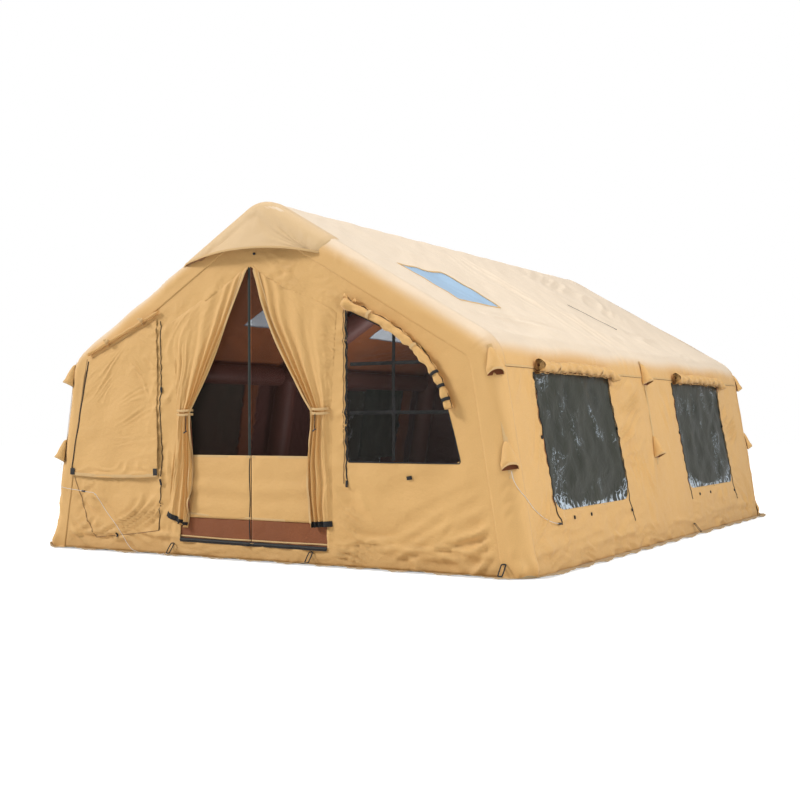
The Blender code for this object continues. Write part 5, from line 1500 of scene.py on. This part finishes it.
# %% Guy pockets
def leg_point(side, arch_y, turn, height, out, along):
    """A place on an arch leg, out from the cloth and along it, turned round the arch's corner."""
    end = math.copysign(1, arch_y)
    depth = sleeve_radius - (sleeve_radius + out) * math.cos(turn) + along * math.sin(turn)
    across = (sleeve_radius + out) * math.sin(turn) + along * math.cos(turn)
    x = on_shell(wall_run(height), -depth)[0]
    return np.stack(np.broadcast_arrays(side * x, arch_y + end * across, height), -1)


pocket_length = 0.19
pocket_mouths = (1.355, 0.72)
for side, label in sides:
    for place, arch_y in zip(("front", "middle", "rear"), arch_places):
        turn = 0.0 if place == "middle" else math.pi / 4
        facing = np.array((side * math.cos(turn), math.copysign(1, arch_y) * math.sin(turn), 0.1))
        share = np.concatenate((np.linspace(0, 0.06, 4), np.linspace(0.1, 1, 26)))
        s, g = np.meshgrid(share, np.linspace(0, math.pi, 31), indexing="ij")
        radius = (0.011 + 0.059 * s ** 0.65) * np.sqrt(np.clip(s / 0.06, 0, 1))
        radius = radius * (1 + 0.05 * np.sin(3 * g + 9 * s) * s) * (1 - 0.16 * rise(s, 0.80, 1.0))
        hems, points = [], []
        for mouth in pocket_mouths:
            height = mouth + pocket_length * (1 - s) + 0.038 * s ** 2.5 * np.sin(g)
            grid = leg_point(side, arch_y, turn, height, 0.002 + radius * np.sin(g) * (1.15 + 0.20 * s ** 2),
                             radius * np.cos(g))
            points.append(grid.reshape(-1, 3))
            rim = grid[-1]
            hems.append(ribbon_shape(rim + (0, 0, 0.008), unit(rim - rim.mean(axis=0)), 0.016, 0.0026))
        faces, flat = grid_faces(30, 31), np.stack((g * 0.05, s * pocket_length), -1).reshape(-1, 2)
        cone = surface("guy_pocket_cloth_" + label + "_" + place, np.vstack(points),
                       np.vstack((faces, faces + len(flat))), [tan_cloth, hood_lining], np.vstack((flat, flat)), facing)
        sewn(cone, (0.34, 0.20), 0.045, cloth_thick, "frame", "wall_cloth", ["guy_pockets_" + label + "_" + place],
             "hung", "air_arch_" + place)
        # A patch of dark rust cloth on the wall inside each mouth is painted shade in the pocket's hollow.
        patches = [ribbon_shape(leg_point(side, arch_y, turn, np.linspace(mouth, mouth + 0.08, 5), 0.0042, 0.0),
                                unit(facing), np.linspace(0.122, 0.080, 5), 0.0014) for mouth in pocket_mouths]
        trim("guy_pocket_lining_" + label + "_" + place, patches, rust_cloth)
        tape = leg_point(side, arch_y, turn, steps(0.66, 1.355 + pocket_length + 0.02, 0.02), 0.001, 0.0)
        hems.append(ribbon_shape(tape, unit(facing), 0.034, 0.0024))
        trim("guy_pocket_trim_" + label + "_" + place, hems, tan_strap)
print("guy pockets")

# %% [markdown]
# The floor is a sheet of heavier cloth, and a skirt of the same cloth runs round the tent's foot. The
# skirt lies flat near the wall, lifts in ripples at its edge and bunches at the corners.

# %% Floor and skirt
corner_middle = np.array((base_half - sleeve_radius, half_length - sleeve_radius))


def foot_line(outset):
    """Plan line of the tent's foot, with its corners rounded, moved outwards and closed."""
    quarters = []
    for quarter, signs in enumerate(((1, 1), (-1, 1), (-1, -1), (1, -1))):
        turns = quarter * math.pi / 2 + np.linspace(0, math.pi / 2, 14)
        directions = np.column_stack((np.cos(turns), np.sin(turns)))
        quarters.append(corner_middle * signs + (sleeve_radius + outset) * directions)
    return np.vstack((*quarters, quarters[0][:1]))


inner_line = even(foot_line(-0.03), 0.022)[:-1]
in_corner = np.clip(np.abs(inner_line) - corner_middle, 0, None)
corner_share = rise(in_corner.min(axis=1), 0.0, 0.04)[:, None]
tangent = unit(np.roll(inner_line, -1, axis=0) - np.roll(inner_line, 1, axis=0))
normal = np.column_stack((tangent[:, 1], -tangent[:, 0]))
around = path_length(np.vstack((inner_line, inner_line[:1])))
skirt_width = 0.118
a, b = np.meshgrid(around[:-1], np.linspace(0, skirt_width, 9), indexing="ij")
ripple = (0.5 + 0.5 * np.sin(a * math.tau / 0.37 + 2 * np.sin(a * 1.9))) * 0.014
ripple = ripple + (0.5 + 0.5 * np.sin(a * math.tau / 0.09)) * 0.006
ripple = ripple + corner_share * 0.006 * (1 + np.sin(a * math.tau / 0.075))
lift = ripple * rise(b, 0.035, skirt_width) + 0.0046
wobble = 0.006 * np.sin(a * math.tau / 0.51) * rise(b, 0.05, skirt_width)
wobble = wobble - 0.050 * corner_share * rise(b, 0.04, skirt_width)
points = np.concatenate((inner_line[:, None] + normal[:, None] * (b + wobble)[..., None], lift[..., None]), axis=-1)
last, edge = (len(inner_line) - 1) * 9, np.arange(8)
closing = np.stack((last + edge, last + edge + 1, edge + 1, edge), -1)
skirt = surface("ground_skirt_cloth", points, np.vstack((grid_faces(len(inner_line), 9), closing)), floor_finish,
                np.stack((a, b), -1), (0, 0, 1))
sewn(skirt, (float(around[-1]), skirt_width), None, floor_thick, "frame", "floor_cloth", ["ground_skirt"], "laid",
     "wall_cloth_right")
sewn(*sheet_piece(
    "ground_sheet_cloth", steps(-2.21, 2.21, 0.05), steps(-2.97, 2.97, 0.05),
    lambda x, y: np.stack((x, y, 0.0032 + np.abs(slow_waves(x, y, 0.6, 0.0012, 131))), -1), floor_finish, (0, 0, 1),
    keep=foot_line(-0.034)[:-1]), floor_thick, "frame", "floor_cloth", ["groundsheet"], "laid", "ground_skirt_cloth")
print("floor and skirt")

# %% Peg loops
def peg_loop(name, node, across):
    """A loop of webbing: an oval ring of flat band that leans from the wall to the skirt's edge."""
    low, high, middle = box_of(node)
    across = np.asarray(across, float)
    outward = np.array((across[1], -across[0], 0.0))
    half_wide = abs((high - low) @ across) / 2 - 0.004
    run = np.array((abs((high - low) @ outward), high[2] - low[2]))
    top = middle - outward * (run[0] / 2 - 0.003) + (0, 0, run[1] / 2)
    bottom = middle + outward * (run[0] / 2 - 0.003) - (0, 0, run[1] / 2 - 0.004)
    turns = np.linspace(0, math.tau, 40, endpoint=False)
    square = 1 / np.maximum(np.abs(np.cos(turns)), np.abs(np.sin(turns))) ** 0.75
    centre, down = (top + bottom) / 2, (bottom - top) / 2 * 0.94
    path = centre + square[:, None] * turning(turns, across * half_wide * 0.9, down)
    out = unit(np.cross(down, across))
    trim(name, [ribbon_shape(path, out * math.copysign(1, out @ outward), 0.010, 0.0024, closed=True)], black_web,
         "frame", node)


for number in (1, 2, 3):
    peg_loop("peg_webbing_front_" + str(number), "peg_loop_front_" + str(number), (1, 0, 0))
peg_loop("peg_webbing_side", "peg_loop_side", (0, 1, 0))
print("peg loops")

# %% [markdown]
# The guy lines are curves with a round section. Each repeats the route of its solid, so its length is
# the real one: the left line runs from its pocket down to the peg loop, the right one hangs short.

# %% Cords
curve_shares = np.array(((0, 1, 0, 0), (-0.5, 0, 0.5, 0), (1, -2.5, 2, -0.5), (-0.5, 1.5, -1.5, 0.5)))
left_route = (
    (-2.112, -2.988, 0.710), (-2.128, -2.998, 0.650), (-2.150, -3.006, 0.594), (-2.140, -3.024, 0.552),
    (-2.085, -3.045, 0.522), (-2.000, -3.055, 0.504), (-1.905, -3.056, 0.494), (-1.845, -3.056, 0.488),
    (-1.785, -3.056, 0.482), (-1.725, -3.056, 0.476), (-1.665, -3.056, 0.470), (-1.610, -3.053, 0.418),
    (-1.530, -3.047, 0.320), (-1.435, -3.042, 0.222), (-1.365, -3.039, 0.140), (-1.305, -3.038, 0.066),
    (-1.250, -3.038, 0.022), (-1.175, -3.038, 0.0075), (-1.095, -3.040, 0.0066), (-1.005, -3.036, 0.0066),
    (-0.935, -3.040, 0.0066), (-0.885, -3.044, 0.0066))
right_route = (
    (2.112, -2.988, 0.710), (2.127, -2.984, 0.650), (2.146, -2.946, 0.590), (2.1690, -2.876, 0.525),
    (2.1802, -2.790, 0.455), (2.1876, -2.700, 0.405), (2.1932, -2.610, 0.368), (2.1974, -2.520, 0.342),
    (2.2000, -2.440, 0.326), (2.2010, -2.390, 0.320))
roof_route_xy = ((1.005, 0.610), (1.060, 0.630), (1.115, 0.668), (1.170, 0.692), (1.225, 0.702),
                 (1.280, 0.728), (1.335, 0.772), (1.385, 0.802), (1.425, 0.820))
roof_route = [(x, y, ridge_high - x * math.tan(slope) + 0.0024 / math.cos(slope)) for x, y in roof_route_xy]


def smooth_route(route, count):
    """Points on a smooth curve through a route: between two of its points, a cubic of the four nearest."""
    route = np.asarray(route, float)
    padded = np.vstack((2 * route[0] - route[1], route, 2 * route[-1] - route[-2]))
    places = np.linspace(0, len(route) - 1, count)
    index = np.minimum(places.astype(int), len(route) - 2)
    powers = (places - index)[:, None] ** np.arange(4)
    near = padded[index[:, None] + np.arange(4)]
    return np.einsum("np,pk,nkd->nd", powers, curve_shares, near)


def cord_piece(name, points, finish, slot, node):
    """A round cord of four millimetres along its route."""
    curve = bpy.data.curves.new(name, "CURVE")
    curve.dimensions = "3D"
    curve.bevel_depth = 0.002
    curve.bevel_resolution = 3
    curve.use_fill_caps = True
    spline = curve.splines.new("POLY")
    spline.points.add(len(points) - 1)
    spline.points.foreach_set("co", np.column_stack((points, np.ones(len(points)))).astype(np.float32).ravel())
    spline.use_smooth = True
    curve.materials.append(finish)
    belongs(add_object(name, curve), "frame", slot, node)


def knot_shape(centre, along, size=0.0065):
    """A small overhand knot: a round lump with a twist in it, as a turned shape of three bulges."""
    heights = np.linspace(-1, 1, 9)
    radius = size * np.sqrt(np.clip(1 - heights ** 2, 0.06, 1)) * (1 + 0.16 * np.cos(heights * 8))
    return turned_shape(np.column_stack((radius, heights * size * 1.2)), centre, along, 12)


points = smooth_route(left_route, 64)
knots = trim("left_line_knots", [knot_shape(points[-1], (1, 0, 0.1)), knot_shape(points[-3], (1, 0, 0)),
                                 knot_shape(points[31], (1, 0, -0.6), 0.0055)], white_rope)
cord_piece("left_guy_cord", points, white_rope, "white_cord", "guy_line_left")
points = smooth_route(right_route, 36)
buckle_profile = ((0.004, -0.017), (0.0085, -0.014), (0.0085, 0.014), (0.004, 0.017))
buckle = trim("right_line_buckle", [turned_shape(buckle_profile, points[-1], (0.02, 0.9, -0.1))], black_plastic)
cord_piece("right_guy_cord", points, white_rope, "white_cord", "guy_line_right")
points = smooth_route(roof_route, 26)
knot = trim("roof_cord_knot", [knot_shape(points[-1], points[-1] - points[-2], 0.0045)], black_web)
cord_piece("dark_roof_cord", points, black_web, "black_webbing", "roof_cord")

# %% Tensioner, valve and cap
before, here, after = (np.array(left_route[index]) for index in (7, 8, 9))
bead = ((0.0029, -0.017), (0.0072, -0.017), (0.0085, -0.0145), (0.0078, -0.006), (0.0078, 0.006), (0.0085, 0.0145),
        (0.0072, 0.017), (0.0029, 0.017))
trim("line_tensioner_bead", [turned_shape(bead, here, after - before, 24, True)], black_plastic, "tensioner",
     "line_tensioner")
valve_x, _, valve_z = box_of("valve_body")[2]
valve_profile = ((0.007, -0.022), (0.013, -0.022), (0.013, 0.0004), (0.0258, 0.0004), (0.0262, 0.0022),
                 (0.0245, 0.0034), (0.018, 0.0040), (0.018, 0.0125), (0.0168, 0.0134), (0.007, 0.0134))
valve_place = (valve_x, half_length, valve_z)
trim("air_valve", [turned_shape(valve_profile, valve_place, (0, 1, 0), 40, True)], black_plastic, "frame",
     "valve_body")
cap_profile = ((0.0064, 0.0075), (0.0064, 0.0138), (0.0205, 0.0138), (0.0212, 0.0150), (0.0212, 0.0205),
               (0.0196, 0.0228), (0.0060, 0.0228), (0.0050, 0.0212))
wing_path = valve_place + np.column_stack((0.028 * np.linspace(0, 1, 6) - 0.014, np.full(6, 0.0215), np.zeros(6)))
trim("valve_screw_cap", [turned_shape(cap_profile, valve_place, (0, 1, 0), 40),
                         ribbon_shape(wing_path, (0, 1.0, 0), 0.005, 0.006)], black_plastic, "valve_cap", "valve_cap")
print("valve and tensioner")

# %% [markdown]
# Seams hold the panels together. The ridge has a seam, the roof meets the wall in a bound seam, the
# skylights have welted edges, and the rear wall has its zipped door.

# %% Seams and the rear door's zip
seams, painted_shadow_lines = [], []
ys = steps(-reach_y, reach_y, 0.03)
for side, label in sides:
    out = (side * math.cos(lean), 0, math.sin(lean))
    # Under each bound seam a thin dark line is painted shadow.
    bound, shadow = (shell_point(side, np.full(len(ys), seam_run - below), ys, lift)
                     for below, lift in ((0.004, 0.002), (0.0135, 0.0005)))
    seams.append(ribbon_shape(bound, out, 0.014, 0.0024))
    painted_shadow_lines.append(ribbon_shape(shadow, out, 0.004, 0.0014))
ridge_line = shell_point(1, np.full(len(ys), ridge_top), ys, 0.0005) * (0, 1, 1)
seams.append(ribbon_shape(ridge_line, (0, 0, 1.0), 0.018, 0.0020))
trim("roof_seams", seams, tan_strap, slot="roof_cloth")
trim("seam_shadow_lines", painted_shadow_lines, brown_thread_and_shadow)
welts = []
for side, name, centre in skylights:
    outline = skylight(centre, 0.010)
    flat = even(np.vstack((outline, outline[:1])), 0.02)[:-1]
    path = shell_point(side, flat[:, 1], flat[:, 0], 0.0006)
    welts.append(ribbon_shape(path, (side * math.sin(slope), 0, math.cos(slope)), 0.022, 0.0024, closed=True))
trim("skylight_welts", welts, tan_strap, slot="roof_cloth")
rear_door = rounded(((-0.72, 0.12), (-0.72, 1.75), (0.0, 2.24), (0.72, 1.75), (0.72, 0.12)),
                    (0.10, 0.35, 0.30, 0.35, 0.10), 10)
flat = even(rear_door, 0.02)
path = rear_point(flat[:, 0], flat[:, 1], -0.002)
trim("rear_door_zip", [ribbon_shape(path, (0, 1.0, 0), 0.018, 0.0042, zip_profile)], zip_tape)
print("seams")

# %% [markdown]
# Seen through the mesh and the front window, dark green blinds hang inside the left wall's windows.

# %% Privacy blinds inside
for label, near, far, low, finish in (
        ("front", -2.42, -0.68, 0.68, blind_cloth), ("rear", 1.62, 2.44, 0.62, blind_cloth),
        ("edging_middle", -0.66, -0.44, 0.10, rust_cloth), ("edging_rear", 2.46, 2.70, 0.10, rust_cloth)):
    blind, size, area = sheet_piece(
        "privacy_blind_" + label, steps(near, far, 0.03), steps(wall_run(low), wall_run(1.45), 0.03),
        lambda y, run: shell_point(-1, run, y, -0.030 + slow_waves(y, run, 0.25, 0.004, 141)), finish, (1, 0, 0))
    sewn(blind, size, None, 0.0012, "frame", "wall_cloth", [], "hung", "wall_cloth_left")
print("blinds")

# %% [markdown]
# The stage is a pale floor under soft studio light. Large lamps give soft shadows, and the world gives
# the even fill. By the light path the floor looks white to the camera, and the world to the camera and to transmission
# rays.

# %% Stage and light
floor_mesh = bpy.data.meshes.new("studio floor")
floor_mesh.from_pydata([(-40, -40, 0), (40, -40, 0), (40, 40, 0), (-40, 40, 0)], [], [(0, 1, 2, 3)])
studio_floor = add_object("studio_floor", floor_mesh)
studio_floor.location = (0, 0, -0.002)
floor_white = bpy.data.materials.new("studio floor")
floor_white.use_nodes = True
tree = floor_white.node_tree
tree.nodes.remove(tree.nodes["Principled BSDF"])
path_kind = add_node(tree, "LightPath").outputs
matte = add_node(tree, "BsdfDiffuse", {"Color": (0.80, 0.80, 0.80, 1)}).outputs[0]
glow = add_node(tree, "Emission", {"Color": (1, 1, 1, 1), "Strength": 0.62}).outputs[0]
both = add_node(tree, "AddShader", {0: matte, 1: glow}).outputs[0]
mixed = add_node(tree, "MixShader", {0: path_kind["Is Camera Ray"], 1: matte, 2: both}).outputs[0]
fill(tree, tree.nodes["Material Output"], {"Surface": mixed})
floor_mesh.materials.append(floor_white)

world = bpy.data.worlds.new("studio")
bpy.context.scene.world = world
world.use_nodes = True
tree = world.node_tree
path_kind = add_node(tree, "LightPath").outputs
seen = maths(tree, "MAXIMUM", path_kind["Is Camera Ray"], path_kind["Is Transmission Ray"])
fill(tree, tree.nodes["Background"], {"Color": (1, 1, 1, 1), "Strength": ranged(tree, seen, 0.0, 1.0, 0.42, 1.0)})


def soft_lamp(name, place, target, size, watts):
    """A large square lamp that faces a point."""
    lamp = bpy.data.lights.new(name, "AREA")
    lamp.size = size
    lamp.energy = watts
    away = unit(np.array(place, float) - target)
    side = unit(np.cross((0, 0.01, 1.0), away))
    add_object(name, lamp, (side, np.cross(away, side), away, place))

soft_lamp("key lamp", (-30.0, -24.0, 26.0), (0, -1, 1.0), 9.0, 14300)
soft_lamp("side lamp", (11.0, -3.0, 6.5), (0, 0, 1.0), 5.0, 640)
soft_lamp("top lamp", (1.0, 0.5, 11.0), (0, 0, 1.5), 7.0, 390)
soft_lamp("inside lamp", (0.0, -0.4, 0.35), (0, -0.2, 3.0), 1.0, 50)
print("stage and four lamps")
